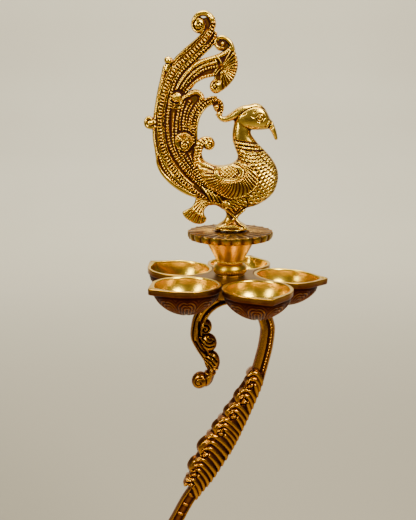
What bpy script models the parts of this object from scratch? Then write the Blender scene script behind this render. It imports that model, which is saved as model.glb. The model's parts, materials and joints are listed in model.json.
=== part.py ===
"""Brass standing oil lamp (samai): five diya cups on a crook stem, under a peacock finial.

Lengths in this file are millimetres and become metres when a mesh is made. The lamp
stands on Z = 0 with its stud axis on X = Y = 0; the peacock looks along +X.
"""
from math import acos, atan2, cos, pi, radians, sin

import bmesh
import bpy
from mathutils import Matrix, Vector

# ---- driving dimensions, millimetres -------------------------------------------------
MM = 0.001
GAP = 0.3                      # clearance kept between pieces that touch
TRAY_Z = 330.0                 # height of the cup rims
COUNT_CUPS = 5

BASE_RADIUS = 72.0
BASE_TOP_Z = 40.0
COLLAR_TOP_Z = 52.0

STEM_STUD_RADIUS = 3.5
STEM_STUD_Z = (20.0, 62.0)
TRAY_STUD_RADIUS = 3.0
TRAY_STUD_Z = (-13.0, 9.5)     # from the rim plane
BORE_CLEARANCE = 0.35

STEM_HALF_WIDTH = 4.5          # across the crook, in its own plane
STEM_HALF_DEPTH = 3.8
ARCH_CENTRE = (1.8, -35.0)     # X and Z from the rim plane
ARCH_RADIUS = 21.2
SEAT_Z = -5.2                  # flat seat on top of the arch
SEAT_RADIUS = 8.5

CUP_CIRCLE_RADIUS = 35.0       # cup centres
CUP_FIRST_AZIMUTH = 7.0
CUP_LIP_TWIST = -10.0          # each wick lip points a little off radial
CUP_LEAN = (3.5, 0.0, -2.2, -1.0, 0.8)   # hand-set cups, each a little off level
CUP_OUTER_RADIUS = 20.2
CUP_INNER_RADIUS = 18.5
CUP_BAND = 3.6                 # height of the plain rim band
CUP_DEPTH = 17.8
CUP_WALL = 1.6
LIP_LENGTH = 25.6              # from cup centre to lip tip
HUB_RADIUS = 24.0
HUB_THICKNESS = 3.6

PEDESTAL_Z = (1.6, 22.2)       # from the rim plane
DISC_Z = (22.5, 27.0)
DISC_RADIUS = 25.5
DISC_LOBES = 24
BIRD_Z = 27.3                  # underside of the bird's foot plate
PEACOCK_STUD_RADIUS = 2.2
TAIL_THICKNESS = 5.0

ROUND = 24                     # segments of a small turned piece
ROUND_CUP = 24                 # segments of a cup
ROUND_FINE = 36                # segments of a large turned piece


# ---- scene, materials and mesh helpers -----------------------------------------------
def clear_scene():
    for item in list(bpy.data.objects):
        bpy.data.objects.remove(item, do_unlink=True)


def brass(name, colour, roughness):
    """A Principled brass with its own colour and polish."""
    made = bpy.data.materials.new(name)
    made.use_nodes = True
    shader = made.node_tree.nodes["Principled BSDF"]
    shader.inputs["Base Color"].default_value = (*colour, 1.0)
    shader.inputs["Metallic"].default_value = 1.0
    shader.inputs["Roughness"].default_value = roughness
    return made


def new_object(name, bm, origin=(0.0, 0.0, 0.0)):
    """Turn a bmesh in millimetres into an object whose origin is at origin (mm)."""
    bmesh.ops.remove_doubles(bm, verts=bm.verts, dist=1e-4)
    bmesh.ops.recalc_face_normals(bm, faces=bm.faces)
    bmesh.ops.translate(bm, verts=bm.verts, vec=-Vector(origin))
    bmesh.ops.scale(bm, verts=bm.verts, vec=(MM, MM, MM))
    mesh = bpy.data.meshes.new(name)
    bm.to_mesh(mesh)
    bm.free()
    item = bpy.data.objects.new(name, mesh)
    item.location = Vector(origin) * MM
    bpy.context.scene.collection.objects.link(item)
    return item


def finish(item, material, crease_deg=35.0):
    """Give a node its material and smooth shading with crisp edges."""
    item.data.materials.clear()
    item.data.materials.append(material)
    item.data.shade_smooth()
    item.data.set_sharp_from_angle(angle=radians(crease_deg))
    return item


def combine(item, others, operation):
    """Apply Booleans of others to item and remove the others."""
    for other in others:
        step = item.modifiers.new(operation.title(), "BOOLEAN")
        step.operation = operation
        step.solver = "EXACT"
        step.object = other
    bpy.context.view_layer.update()
    graph = bpy.context.evaluated_depsgraph_get()
    result = bpy.data.meshes.new_from_object(item.evaluated_get(graph))
    item.modifiers.clear()
    item.data = result
    for other in others:
        bpy.data.objects.remove(other, do_unlink=True)
    return item


def turned(name, profile, segments=ROUND, closed=True, origin=(0.0, 0.0, 0.0)):
    """Spin a (radius, z) profile round Z. A closed profile makes a ring or a shell."""
    bm = bmesh.new()
    rings = []
    for radius, z in profile:
        if radius < 1e-6:
            rings.append([bm.verts.new((0.0, 0.0, z))])
            continue
        angles = [2 * pi * i / segments for i in range(segments)]
        rings.append([bm.verts.new((radius * cos(a), radius * sin(a), z)) for a in angles])
    pairs = list(zip(rings, rings[1:]))
    if closed:
        pairs.append((rings[-1], rings[0]))
    for low, high in pairs:
        for i in range(segments):
            j = (i + 1) % segments
            corners = []
            for vert in (low[i % len(low)], low[j % len(low)],
                         high[j % len(high)], high[i % len(high)]):
                if vert not in corners:
                    corners.append(vert)
            if len(corners) > 2:
                bm.faces.new(corners)
    return new_object(name, bm, origin)


def rod(name, radius, z_low, z_high, chamfer=0.4, segments=ROUND, centre=(0.0, 0.0)):
    """A vertical rod with chamfered ends."""
    profile = [(0, z_low), (radius - chamfer, z_low), (radius, z_low + chamfer),
               (radius, z_high - chamfer), (radius - chamfer, z_high), (0, z_high)]
    item = turned(name, profile, segments, closed=False)
    item.location = (centre[0] * MM, centre[1] * MM, 0.0)
    return item


def washer(name, inner, outer, z_low, z_high):
    profile = [(inner, z_low), (outer, z_low), (outer, z_high), (inner, z_high)]
    return turned(name, profile)


def hex_nut(name, across_flats, bore, z_low, z_high):
    """A hexagon nut round the Z axis."""
    bm = bmesh.new()
    corner = across_flats / (2 * cos(pi / 6))
    walls = []
    for z in (z_low, z_high):
        outer = [bm.verts.new((corner * cos(pi * i / 3), corner * sin(pi * i / 3), z))
                 for i in range(6)]
        inner = [bm.verts.new((bore * cos(pi * i / 12), bore * sin(pi * i / 12), z))
                 for i in range(24)]
        walls.append((outer, inner))
        for i in range(6):
            fan = [inner[(4 * i + k) % 24] for k in range(5)]
            bm.faces.new([outer[i], outer[(i + 1) % 6]] + fan[::-1])
    for ring_low, ring_high in zip(*walls):
        for i in range(len(ring_low)):
            j = (i + 1) % len(ring_low)
            bm.faces.new([ring_low[i], ring_low[j], ring_high[j], ring_high[i]])
    return new_object(name, bm)


def plate(name, outline, thickness, chamfer=0.7, plane="XZ", level=0.0):
    """Extrude an outline into a plate with chamfered edges.

    plane XZ makes a plate centred on Y = 0; plane XY makes one that starts at level.
    """
    bm = bmesh.new()
    if plane == "XZ":
        verts = [bm.verts.new((x, -thickness / 2, z)) for x, z in outline]
        push = Vector((0, thickness, 0))
    else:
        verts = [bm.verts.new((x, y, level)) for x, y in outline]
        push = Vector((0, 0, thickness))
    face = bm.faces.new(verts)
    grown = bmesh.ops.extrude_face_region(bm, geom=[face])
    moved = [v for v in grown["geom"] if isinstance(v, bmesh.types.BMVert)]
    bmesh.ops.translate(bm, verts=moved, vec=push)
    bmesh.ops.recalc_face_normals(bm, faces=bm.faces)
    if chamfer:
        caps = [f for f in bm.faces if len(f.verts) == len(outline)]
        edges = {edge for cap in caps for edge in cap.edges}
        bmesh.ops.bevel(bm, geom=list(edges), offset=chamfer, segments=1, affect="EDGES")
    return new_object(name, bm)


def smooth_path(points, steps):
    """Points on a Catmull-Rom curve through the given points."""
    points = [Vector(p) for p in points]
    first = 2 * points[0] - points[1]
    last = 2 * points[-1] - points[-2]
    padded = [first, *points, last]
    path = []
    for i in range(1, len(padded) - 2):
        p0, p1, p2, p3 = padded[i - 1:i + 3]
        for k in range(steps):
            t = k / steps
            path.append(0.5 * ((2 * p1) + (p2 - p0) * t
                               + (2 * p0 - 5 * p1 + 4 * p2 - p3) * t * t
                               + (3 * p1 - p0 - 3 * p2 + p3) * t ** 3))
    path.append(points[-1])
    return path


def arc(centre, radius, start_deg, end_deg, steps):
    """Points on an arc, both ends included."""
    span = end_deg - start_deg
    angles = [radians(start_deg + span * i / steps) for i in range(steps + 1)]
    return [(centre[0] + radius * cos(a), centre[1] + radius * sin(a)) for a in angles]


def spiral(centre, radius, inner, start_deg, end_deg, steps):
    """Points that wind in from radius to inner round a centre."""
    points = []
    for i in range(steps + 1):
        t = i / steps
        a = radians(start_deg + (end_deg - start_deg) * t)
        r = radius + (inner - radius) * t
        points.append((centre[0] + r * cos(a), centre[1] + r * sin(a)))
    return points


def sweep(name, path, half_width, half_depth, sides=12, square=0.75):
    """Sweep a rounded section along a path of (x, z) points.

    half_width lies in the path's plane and half_depth along Y; each is a number or a
    function of the share of the path's length. square below 1 makes a boxier section.
    """
    path = [Vector((p[0], 0.0, p[1])) for p in path]
    lengths = [0.0]
    for a, b in zip(path, path[1:]):
        lengths.append(lengths[-1] + (b - a).length)
    bm = bmesh.new()
    rings = []
    for i, point in enumerate(path):
        ahead = path[min(i + 1, len(path) - 1)]
        behind = path[max(i - 1, 0)]
        along = (ahead - behind).normalized()
        across = Vector((along.z, 0.0, -along.x))
        share = lengths[i] / lengths[-1]
        width = half_width(share) if callable(half_width) else half_width
        depth = half_depth(share) if callable(half_depth) else half_depth
        ring = []
        for k in range(sides):
            a = 2 * pi * (k + 0.5) / sides
            u = abs(cos(a)) ** square * (1 if cos(a) > 0 else -1)
            v = abs(sin(a)) ** square * (1 if sin(a) > 0 else -1)
            ring.append(bm.verts.new(point + across * (width * u) + Vector((0, depth * v, 0))))
        rings.append(ring)
    for low, high in zip(rings, rings[1:]):
        for k in range(sides):
            j = (k + 1) % sides
            bm.faces.new([low[k], low[j], high[j], high[k]])
    bm.faces.new(rings[0])
    bm.faces.new(rings[-1])
    return new_object(name, bm)


def ball(name, centre, radii, segments=12, rings=7, lean_deg=0.0):
    """An ellipsoid at centre (x, y, z), leant about Y."""
    bm = bmesh.new()
    bmesh.ops.create_uvsphere(bm, u_segments=segments, v_segments=rings, radius=1.0)
    turn = Matrix.Rotation(radians(lean_deg), 4, "Y")
    bmesh.ops.transform(bm, matrix=turn @ Matrix.Diagonal((*radii, 1.0)), verts=bm.verts)
    bmesh.ops.translate(bm, verts=bm.verts, vec=centre)
    return new_object(name, bm)


# ---- base ----------------------------------------------------------------------------
def make_base(material):
    """The hollow cast foot: a beaded rim, a petal step and a dome, open beneath."""
    outer = [(66.0, 0.0), (71.0, 0.0), (BASE_RADIUS, 1.5), (BASE_RADIUS, 3.5), (70.5, 5.5),
             (67.0, 6.5), (66.0, 9.0), (62.5, 12.5), (56.0, 15.5), (47.0, 17.5),
             (43.0, 18.5), (41.5, 21.0), (37.5, 25.5), (30.0, 29.5), (21.0, 32.5),
             (15.5, 34.5), (13.5, 37.0), (13.5, BASE_TOP_Z)]
    bore = STEM_STUD_RADIUS + BORE_CLEARANCE
    inner = [(bore, BASE_TOP_Z), (bore, 31.5), (10.0, 30.5), (20.0, 28.0), (29.0, 25.5),
             (35.5, 21.5), (38.5, 17.0), (41.5, 14.6), (47.0, 13.5), (55.0, 11.5),
             (60.5, 8.5), (63.0, 5.0), (64.5, 0.0)]
    return finish(turned("base_dome", outer + inner, ROUND_FINE), material)


def make_base_fastening(material):
    """The washer, nut and stud that clamp the stem to the base from inside."""
    bore = STEM_STUD_RADIUS + BORE_CLEARANCE
    top = 30.2
    washer_low = top - 1.6
    nut_high = washer_low - GAP
    washed = washer("base_washer", bore, 8.5, washer_low, top)
    nut = hex_nut("base_nut", 12.0, bore, nut_high - 5.5, nut_high)
    stud = rod("stem_stud", STEM_STUD_RADIUS, *STEM_STUD_Z)
    for item in (washed, nut, stud):
        finish(item, material)


def make_collar(material):
    """The turned knob between base and stem."""
    bore = STEM_STUD_RADIUS + BORE_CLEARANCE
    low = BASE_TOP_Z + GAP
    profile = [(bore, low), (12.5, low), (13.0, low + 1.2), (10.0, low + 2.4),
               (12.6, low + 4.0), (13.8, low + 6.0), (12.6, low + 8.0), (9.5, low + 9.3),
               (9.8, low + 10.4), (9.0, COLLAR_TOP_Z), (bore, COLLAR_TOP_Z)]
    return finish(turned("stem_collar", profile), material)


# ---- stem ----------------------------------------------------------------------------
def crook_path():
    """The whole crook: up the S-bend, over the arch and down the hanging tendril."""
    foot = COLLAR_TOP_Z + GAP - TRAY_Z
    s_bend = [(0, foot), (0, foot + 3), (0, foot + 7), (-4, foot + 16), (-16, foot + 32),
              (-31, foot + 49), (-41, foot + 67), (-43, foot + 87), (-38.5, foot + 105), (-31, -158),
              (-24.5, -145), (-16.5, -132), (-9.5, -121), (-2, -108.5), (6.5, -92),
              (13, -78), (17.6, -65), (21, -52)]
    arch = arc(ARCH_CENTRE, ARCH_RADIUS, -14, 186, 8)
    tendril = [(-18.2, -42), (-14, -50.5), (-10.8, -58), (-12.5, -65.5), (-17.5, -67.5)]
    path = smooth_path([(x, 0.0, z) for x, z in s_bend + arch + tendril], 3)
    return [(p.x, p.z + TRAY_Z) for p in path]


def make_crook(material):
    """The cast stem with its leaf sheath, tendril leaves, and a flat seat for the tray."""
    def width(share):
        swell = 1.2 * max(0.0, 1.0 - share / 0.06)
        taper = max(0.0, (share - 0.9) / 0.1)
        return STEM_HALF_WIDTH + swell - 1.3 * taper

    def depth(share):
        return STEM_HALF_DEPTH + 1.0 * max(0.0, 1.0 - share / 0.06)

    crook = sweep("stem_crook", crook_path(), width, depth, sides=10)
    extra = [ball("tendril_end", (-17.2, 0, TRAY_Z - 67.3), (6.4, 4.6, 5.6))]
    for x, z, r in ((-15.0, -33.5, 4.6), (-12.2, -42.5, 5.0), (-10.2, -52.5, 4.8)):
        extra.append(ball("tendril_leaf", (x, 0, TRAY_Z + z), (r, 3.4, r + 0.6), 10, 6))
    sheath = [(7.5, -70), (1.5, -81), (-5, -92), (-12, -103.5), (-18.5, -114.5), (-23, -125),
              (-25, -134)]
    for x, z in sheath:
        extra.append(ball("sheath_leaf", (x + 4, 0, TRAY_Z + z - 2), (6.4, 5.4, 8.6), 10, 6, 28))
    seat = rod("seat", SEAT_RADIUS, TRAY_Z - 15.0, TRAY_Z + SEAT_Z)
    combine(crook, extra + [seat], "UNION")
    tray_bore = rod("tray_bore", TRAY_STUD_RADIUS + BORE_CLEARANCE,
                    TRAY_Z + TRAY_STUD_Z[0] - GAP, TRAY_Z, 0.1)
    stem_bore = rod("stem_bore", STEM_STUD_RADIUS + BORE_CLEARANCE,
                    COLLAR_TOP_Z - 5.0, STEM_STUD_Z[1] + GAP, 0.1)
    combine(crook, [tray_bore, stem_bore], "DIFFERENCE")
    return finish(crook, material)


# ---- tray ----------------------------------------------------------------------------
def cup_azimuth(index):
    return CUP_FIRST_AZIMUTH + index * 360.0 / COUNT_CUPS


def cup_frame(index):
    """Where a cup sits: out along its azimuth, leant about its root, lip twisted."""
    azimuth = radians(cup_azimuth(index))
    root = CUP_CIRCLE_RADIUS - CUP_OUTER_RADIUS
    at_root = Matrix.Translation((root, 0, TRAY_Z))
    lean = Matrix.Rotation(radians(CUP_LEAN[index]), 4, "Y")
    out = Matrix.Translation((CUP_OUTER_RADIUS, 0, 0))
    twist = Matrix.Rotation(radians(CUP_LIP_TWIST), 4, "Z")
    return Matrix.Rotation(azimuth, 4, "Z") @ at_root @ lean @ out @ twist


def lip_outline(radius, tip, angle):
    """Distance from the cup centre to its rim at an angle from the lip."""
    half = acos(radius / tip)
    off = abs(atan2(sin(angle), cos(angle)))
    if off >= half:
        return radius
    return min(radius / cos(half - off), tip - 0.7)


def make_cup(index, material):
    """One diya: a round bowl whose rim band runs out to a pointed wick lip."""
    low = -CUP_BAND
    outside = [(1.0, 0.0, True), (1.0, low, True), (0.955, low - 0.5, False),
               (0.92, -7.5, False), (0.77, -12.3, False), (0.5, -15.9, False),
               (0.22, -17.4, False)]
    inside = [(0.28, -15.6), (0.55, -13.7), (0.8, -10.2), (0.94, -5.5), (1.0, 0.0)]
    bm = bmesh.new()
    rings = []
    for share, z, has_lip in outside:
        ring = []
        for k in range(ROUND_CUP):
            a = 2 * pi * k / ROUND_CUP
            reach = CUP_OUTER_RADIUS
            if has_lip:
                reach = lip_outline(CUP_OUTER_RADIUS, LIP_LENGTH, a)
            ring.append(bm.verts.new((share * reach * cos(a), share * reach * sin(a), z)))
        rings.append(ring)
    rings.append([bm.verts.new((0, 0, -CUP_DEPTH))])
    shell = [[bm.verts.new((0, 0, -CUP_DEPTH + CUP_WALL))]]
    for share, z in inside:
        reach = share * CUP_INNER_RADIUS
        angles = [2 * pi * k / ROUND_CUP for k in range(ROUND_CUP)]
        shell.append([bm.verts.new((reach * cos(a), reach * sin(a), z)) for a in angles])
    for group in (rings, shell, [shell[-1], rings[0]]):
        for low_ring, high_ring in zip(group, group[1:]):
            for k in range(ROUND_CUP):
                j = (k + 1) % ROUND_CUP
                loop = [low_ring[k % len(low_ring)], low_ring[j % len(low_ring)],
                        high_ring[j % len(high_ring)], high_ring[k % len(high_ring)]]
                bm.faces.new(list(dict.fromkeys(loop)))
    bmesh.ops.transform(bm, matrix=cup_frame(index), verts=bm.verts)
    origin = (0.0, 0.0, TRAY_Z)
    return finish(new_object(f"diya_cup_{index + 1}", bm, origin), material)


def make_hub(material):
    """The plate between the cups, scooped to their round rims, bored for the stud."""
    profile = [(0, TRAY_Z - HUB_THICKNESS), (HUB_RADIUS, TRAY_Z - HUB_THICKNESS),
               (HUB_RADIUS, TRAY_Z), (0, TRAY_Z)]
    hub = turned("tray_hub", profile, ROUND_FINE, closed=False)
    cutters = [rod("bore", TRAY_STUD_RADIUS + BORE_CLEARANCE, TRAY_Z - 10, TRAY_Z + 10)]
    for index in range(COUNT_CUPS):
        a = radians(cup_azimuth(index))
        centre = (CUP_CIRCLE_RADIUS * cos(a), CUP_CIRCLE_RADIUS * sin(a))
        cutters.append(rod("scoop", CUP_OUTER_RADIUS + GAP + 0.1, TRAY_Z - 10, TRAY_Z + 10,
                           segments=ROUND_FINE, centre=centre))
    return finish(combine(hub, cutters, "DIFFERENCE"), material)


def make_tray(cup_material, hub_material, steel):
    make_hub(hub_material)
    for index in range(COUNT_CUPS):
        make_cup(index, cup_material)
    bore = TRAY_STUD_RADIUS + BORE_CLEARANCE
    seat_top = TRAY_Z - HUB_THICKNESS - GAP
    finish(washer("tray_seat_washer", bore, SEAT_RADIUS, TRAY_Z + SEAT_Z + GAP, seat_top), steel)
    low, high = (TRAY_Z + z for z in TRAY_STUD_Z)
    finish(rod("tray_stud", TRAY_STUD_RADIUS, low, high), steel)


# ---- finial --------------------------------------------------------------------------
def make_pedestal(material, steel):
    """Turned cone on a knob foot, hollow above for the nut and bored below for the stud."""
    bore = TRAY_STUD_RADIUS + BORE_CLEARANCE
    low, high = PEDESTAL_Z
    outer = [(bore, low), (8.4, low), (9.6, low + 0.9), (10.2, 3.8), (9.8, 5.3), (8.2, 7.2),
             (7.5, 8.0), (8.1, 8.9), (9.1, 11.3), (11.7, 15.8), (14.6, 20.9), (15.2, high)]
    inner = [(13.0, high), (12.0, 20.4), (7.6, 15.0), (bore, 15.0)]
    profile = [(r, z + TRAY_Z) for r, z in outer + inner]
    finish(turned("pedestal", profile), material)
    ring = washer("finial_washer", bore, 9.0, TRAY_Z + GAP, TRAY_Z + low - GAP)
    finish(ring, steel)


def make_disc(material):
    """The lotus disc with a scalloped rim."""
    outline = []
    steps = DISC_LOBES * 4
    for k in range(steps):
        a = 2 * pi * k / steps
        reach = DISC_RADIUS - 0.9 * (1.0 - abs(cos(a * DISC_LOBES / 2)))
        outline.append((reach * cos(a), reach * sin(a)))
    low, high = DISC_Z
    disc = plate("lotus_disc", outline, high - low, 0.5, "XY", TRAY_Z + low)
    hole = rod("bore", PEACOCK_STUD_RADIUS + BORE_CLEARANCE, TRAY_Z + low - 5,
               TRAY_Z + high + 5, segments=24)
    return finish(combine(disc, [hole], "DIFFERENCE"), material)


def lifted(points, rise=TRAY_Z):
    return [(x, z + rise) for x, z in points]


def tail_pieces():
    """The openwork tail: a broad plate, two plumes, a fan and their curls."""
    broad = [(-4, 50), (-9, 44.5), (-21, 47), (-33, 58), (-44, 71.5), (-45.6, 84), (-44.2, 97),
             (-40.5, 111), (-36.8, 123), (-30, 126), (-22, 123.5), (-20.5, 112), (-17, 104),
             (-17.4, 95), (-19.6, 85), (-20, 78), (-15, 66), (-5, 58)]
    fan = [(-8, 128.5), (-4, 136), (-0.5, 136), (2.6, 131.5), (3.7, 125.1), (2.9, 118.2),
           (-0.6, 111.8), (-6, 107.6), (-10, 110), (-8.5, 115)]
    drop = [(-8, 48), (-21.5, 48), (-24.5, 43), (-28.2, 38.6), (-26, 34.6), (-20.6, 31.6),
            (-15.2, 32.4), (-13.8, 35.4), (-15.8, 39.5), (-14, 42.5), (-7, 44)]
    thick = TAIL_THICKNESS
    pieces = [plate("fan", lifted(fan), thick - 1.0), plate("drop", lifted(drop), thick - 0.6)]
    tall = [(-33, 116), (-26, 127), (-18, 134.8), (-12.4, 139.4), (-10.6, 143)]
    hook = spiral((-15.6, 144.4), 5.3, 4.0, -30, 225, 12)
    low_plume = [(-28, 112), (-20, 119), (-12, 122), (-4, 122)]
    inner = [(-22.5, 84), (-20.5, 94), (-16, 100.8), (-11, 102.4), (-7.8, 100.6)]
    lobe = [(-24, 100), (-21, 106), (-17, 107.4), (-15, 104.6)]
    link = [(-16, 105), (-11, 105.8), (-7, 107)]
    root = [(-14, 66), (-17.2, 73), (-15.4, 79), (-12.0, 79.6)]
    for name, path, wide, deep in (
            ("tall", smooth_path([(x, 0, z) for x, z in tall], 3), (6.2, 3.2), 2.5),
            ("low_plume", smooth_path([(x, 0, z) for x, z in low_plume], 3), (7.0, 6.6), 2.3),
            ("inner", smooth_path([(x, 0, z) for x, z in inner], 2), (3.2, 2.0), 2.2),
            ("lobe", smooth_path([(x, 0, z) for x, z in lobe], 2), (2.8, 2.0), 2.2),
            ("link", smooth_path([(x, 0, z) for x, z in link], 2), (1.2, 1.2), 1.2),
            ("root", smooth_path([(x, 0, z) for x, z in root], 2), (3.0, 2.0), 2.2)):
        start, end = wide
        shape = [(p.x, p.z + TRAY_Z) for p in path]
        pieces.append(sweep(name, shape, lambda s, a=start, b=end: a + (b - a) * s, deep, 8))
    pieces.append(sweep("hook", lifted(hook), lambda s: 2.6 - 0.8 * s, lambda s: 2.5 - 0.6 * s, 8))
    for x, z, r in ((-4.6, 135.2, 3.4), (-8.6, 110.4, 3.3), (-46.4, 90.6, 2.9),
                    (-36.4, 124.6, 2.2), (-18.2, 142.9, 2.7), (-8.2, 98.8, 2.4),
                    (-12.4, 78.4, 3.2)):
        pieces.append(ball("knob", (x, 0, z + TRAY_Z), (r, 2.2, r), 10, 5))
    for x, z, r in ((-31.3, 104.4, 3.4), (-26.9, 79.2, 5.2)):
        pieces.append(ball("boss", (x, 0, z + TRAY_Z), (r, 3.6, r), 10, 5))
    return plate("peacock", lifted(broad), thick), pieces


def body_pieces():
    """Body, breast, neck, crested head, beak, thighs and foot."""
    pieces = [ball("body", (4.5, 0, 56.5 + TRAY_Z), (19.0, 9.2, 11.2), 16, 9, 8),
              ball("breast", (14.2, 0, 57.5 + TRAY_Z), (14.2, 9.6, 15.6), 16, 10, -12),
              ball("head", (15.6, 0, 93.6 + TRAY_Z), (8.2, 6.4, 8.0), 14, 9, 10)]
    neck = smooth_path([(14, 0, 62), (11, 0, 71), (7.6, 0, 79), (6.8, 0, 86), (9.8, 0, 92)], 3)
    beak = smooth_path([(20, 0, 92.5), (24.6, 0, 88.4), (26.9, 0, 81.2)], 3)
    crest = [(13.5, 0, 99.2), (6.5, 0, 96.3), (0.3, 0, 92.6), (-4.6, 0, 91.4), (-7.0, 0, 95),
             (-7.8, 0, 99)]
    crest = smooth_path(crest, 3)

    def shape(path):
        return [(p.x, p.z + TRAY_Z) for p in path]

    pieces += [
        sweep("neck", shape(neck), lambda s: 11.5 - 5.6 * min(1.0, 1.5 * s),
              lambda s: 8.6 - 3.6 * min(1.0, 1.5 * s), 14, 1.0),
        sweep("beak", shape(beak), lambda s: 3.6 - 3.0 * s, lambda s: 2.9 - 2.4 * s, 8, 1.0),
        sweep("crest", shape(crest), lambda s: 2.6 - 0.9 * s, lambda s: 2.4 - 0.6 * s, 8, 1.0)]
    leg = [(-5.5, 28.0), (7.5, 28.0), (6.8, 30.6), (5.4, 35.1), (7.6, 39.4), (12, 45.5),
           (9, 50), (-3, 50), (-5.5, 45.5), (-0.8, 39.4), (0.8, 35.1), (-1.2, 30.6)]
    back = [(-19, 79), (-15.6, 72), (-13, 68.6), (-7.9, 66.4), (-1.5, 66.8), (4, 70), (7, 50),
            (-9, 46), (-16, 60)]
    pieces += [plate("leg", lifted(leg), 7.0, 1.2), plate("back", lifted(back), 9.0, 1.6)]
    foot = [(0, BIRD_Z), (9.3, BIRD_Z), (9.3, 28.6), (5.2, 30.6), (0, 31.2)]
    pieces.append(turned("foot", [(r, z + TRAY_Z) for r, z in foot], 20, closed=False))
    return pieces


def make_peacock(material, steel):
    """The cast bird, fused from its parts, and the stud and nut that hold it down."""
    bird, tail = tail_pieces()
    combine(bird, tail + body_pieces(), "UNION")
    bore = PEACOCK_STUD_RADIUS + BORE_CLEARANCE
    hole = rod("bore", bore, TRAY_Z + BIRD_Z - 5, TRAY_Z + 33.0, 0.1, 24)
    combine(bird, [hole], "DIFFERENCE")
    finish(bird, material)
    finish(rod("peacock_stud", PEACOCK_STUD_RADIUS, TRAY_Z + 16.2, TRAY_Z + 32.6, 0.3, 24), steel)
    finish(hex_nut("peacock_nut", 8.0, bore, TRAY_Z + 18.6, TRAY_Z + DISC_Z[0] - GAP), steel)


# ---- assembly ------------------------------------------------------------------------
def main():
    clear_scene()
    gold = brass("gold brass", (0.80, 0.55, 0.20), 0.28)
    deep = brass("deep brass", (0.62, 0.36, 0.12), 0.38)
    bright = brass("bright cup brass", (0.88, 0.66, 0.28), 0.22)
    matte = brass("hub brass", (0.50, 0.40, 0.26), 0.5)
    plain = brass("fastener brass", (0.66, 0.52, 0.28), 0.4)
    make_base(deep)
    make_base_fastening(plain)
    make_collar(gold)
    make_crook(deep)
    make_tray(bright, matte, plain)
    make_pedestal(gold, plain)
    make_disc(gold)
    make_peacock(gold, plain)


main()
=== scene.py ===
import json
from math import cos, hypot, pi, radians, sin

import bmesh
import bpy
import numpy as np
from mathutils import Matrix, Vector


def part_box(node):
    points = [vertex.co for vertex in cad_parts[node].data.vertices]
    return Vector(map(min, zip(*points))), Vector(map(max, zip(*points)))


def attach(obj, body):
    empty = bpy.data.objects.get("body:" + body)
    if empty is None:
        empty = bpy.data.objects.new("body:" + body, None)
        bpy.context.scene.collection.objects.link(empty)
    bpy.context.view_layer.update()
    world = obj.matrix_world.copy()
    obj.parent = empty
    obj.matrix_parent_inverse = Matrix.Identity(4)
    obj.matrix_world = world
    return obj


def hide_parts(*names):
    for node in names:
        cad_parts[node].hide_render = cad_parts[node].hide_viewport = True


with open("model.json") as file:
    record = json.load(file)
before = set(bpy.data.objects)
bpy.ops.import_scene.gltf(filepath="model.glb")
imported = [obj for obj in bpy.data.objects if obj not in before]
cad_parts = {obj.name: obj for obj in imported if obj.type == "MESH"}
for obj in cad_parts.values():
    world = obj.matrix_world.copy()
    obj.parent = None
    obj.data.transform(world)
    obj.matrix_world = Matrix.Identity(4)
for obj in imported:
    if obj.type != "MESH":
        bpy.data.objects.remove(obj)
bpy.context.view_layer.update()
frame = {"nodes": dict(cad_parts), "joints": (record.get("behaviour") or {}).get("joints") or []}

# The looks of a brass standing oil lamp: a peacock finial over five oil cups on a leafed crook
# stem. Shapes are worked out in millimetres. The castings are reliefs over a grid with x to
# the right and z up. Heights of the tray, the finial and the crook count from the plane of
# the cup rims, which the swivel joint gives; those of the base and its collar, from the floor.
MM = 0.001
JOINTS = {joint["name"]: joint for joint in frame["joints"]}
RIM_Z = JOINTS["tray_swivel"]["pos_m"][2] / MM
PEACOCK_GRID = 0.25
STEM_GRID = 0.3
OUTSIDE = -4.0          # a relief's square of half thickness, well outside its outline
GROOVE_REACH = 0.8      # how far round a point its recess is judged
GROOVE_DEPTH = 0.42     # the depth that counts as wholly recessed
BORE_CLEARANCE = 0.35   # between a stud and the wall of its bore
STUD_BORE = 3.35        # radius of the bores that the tray stud goes through
FOOT_BORE = 3.85        # radius of the bores that the stem stud goes through


def heights_from_rims(node):
    """The lowest and highest heights of a CAD node, from the plane of the cup rims."""
    low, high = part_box(node)
    return low.z / MM - RIM_Z, high.z / MM - RIM_Z


def outer_radius(node):
    """The radius of a round CAD node that stands on the lamp's axis."""
    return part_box(node)[1].x / MM


# ---- curves and fields ---------------------------------------------------------------
def smooth_path(points, spacing=0.7):
    """Evenly spaced points on a Catmull-Rom curve through the given points."""
    points = np.asarray(points, float)
    padded = np.vstack([2 * points[0] - points[1], points, 2 * points[-1] - points[-2]])
    t = np.linspace(0, 1, 12, endpoint=False)[:, None]
    parts = [0.5 * (2 * p1 + (p2 - p0) * t + (2 * p0 - 5 * p1 + 4 * p2 - p3) * t ** 2
                    + (3 * p1 - p0 - 3 * p2 + p3) * t ** 3)
             for p0, p1, p2, p3 in zip(padded, padded[1:], padded[2:], padded[3:])]
    path = np.vstack(parts + [points[-1:]])
    run = np.concatenate([[0], np.cumsum(np.linalg.norm(np.diff(path, axis=0), axis=1))])
    even = np.linspace(0, run[-1], max(3, int(round(run[-1] / spacing)) + 1))
    return np.stack([np.interp(even, run, path[:, k]) for k in range(path.shape[1])], axis=1)


def spiral(centre, radii, angles, count=14):
    """Points on a spiral round centre, from radii[0] to radii[1] over a range of degrees."""
    share = np.linspace(0, 1, count)
    radius = radii[0] + (radii[1] - radii[0]) * share
    angle = np.radians(angles[0] + (angles[1] - angles[0]) * share)
    return np.stack([centre[0] + radius * np.cos(angle), centre[1] + radius * np.sin(angle)], 1)


def step(low, high, value):
    """Smooth step from 0 at low to 1 at high."""
    t = np.clip((value - low) / (high - low), 0, 1)
    return t * t * (3 - 2 * t)


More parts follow.
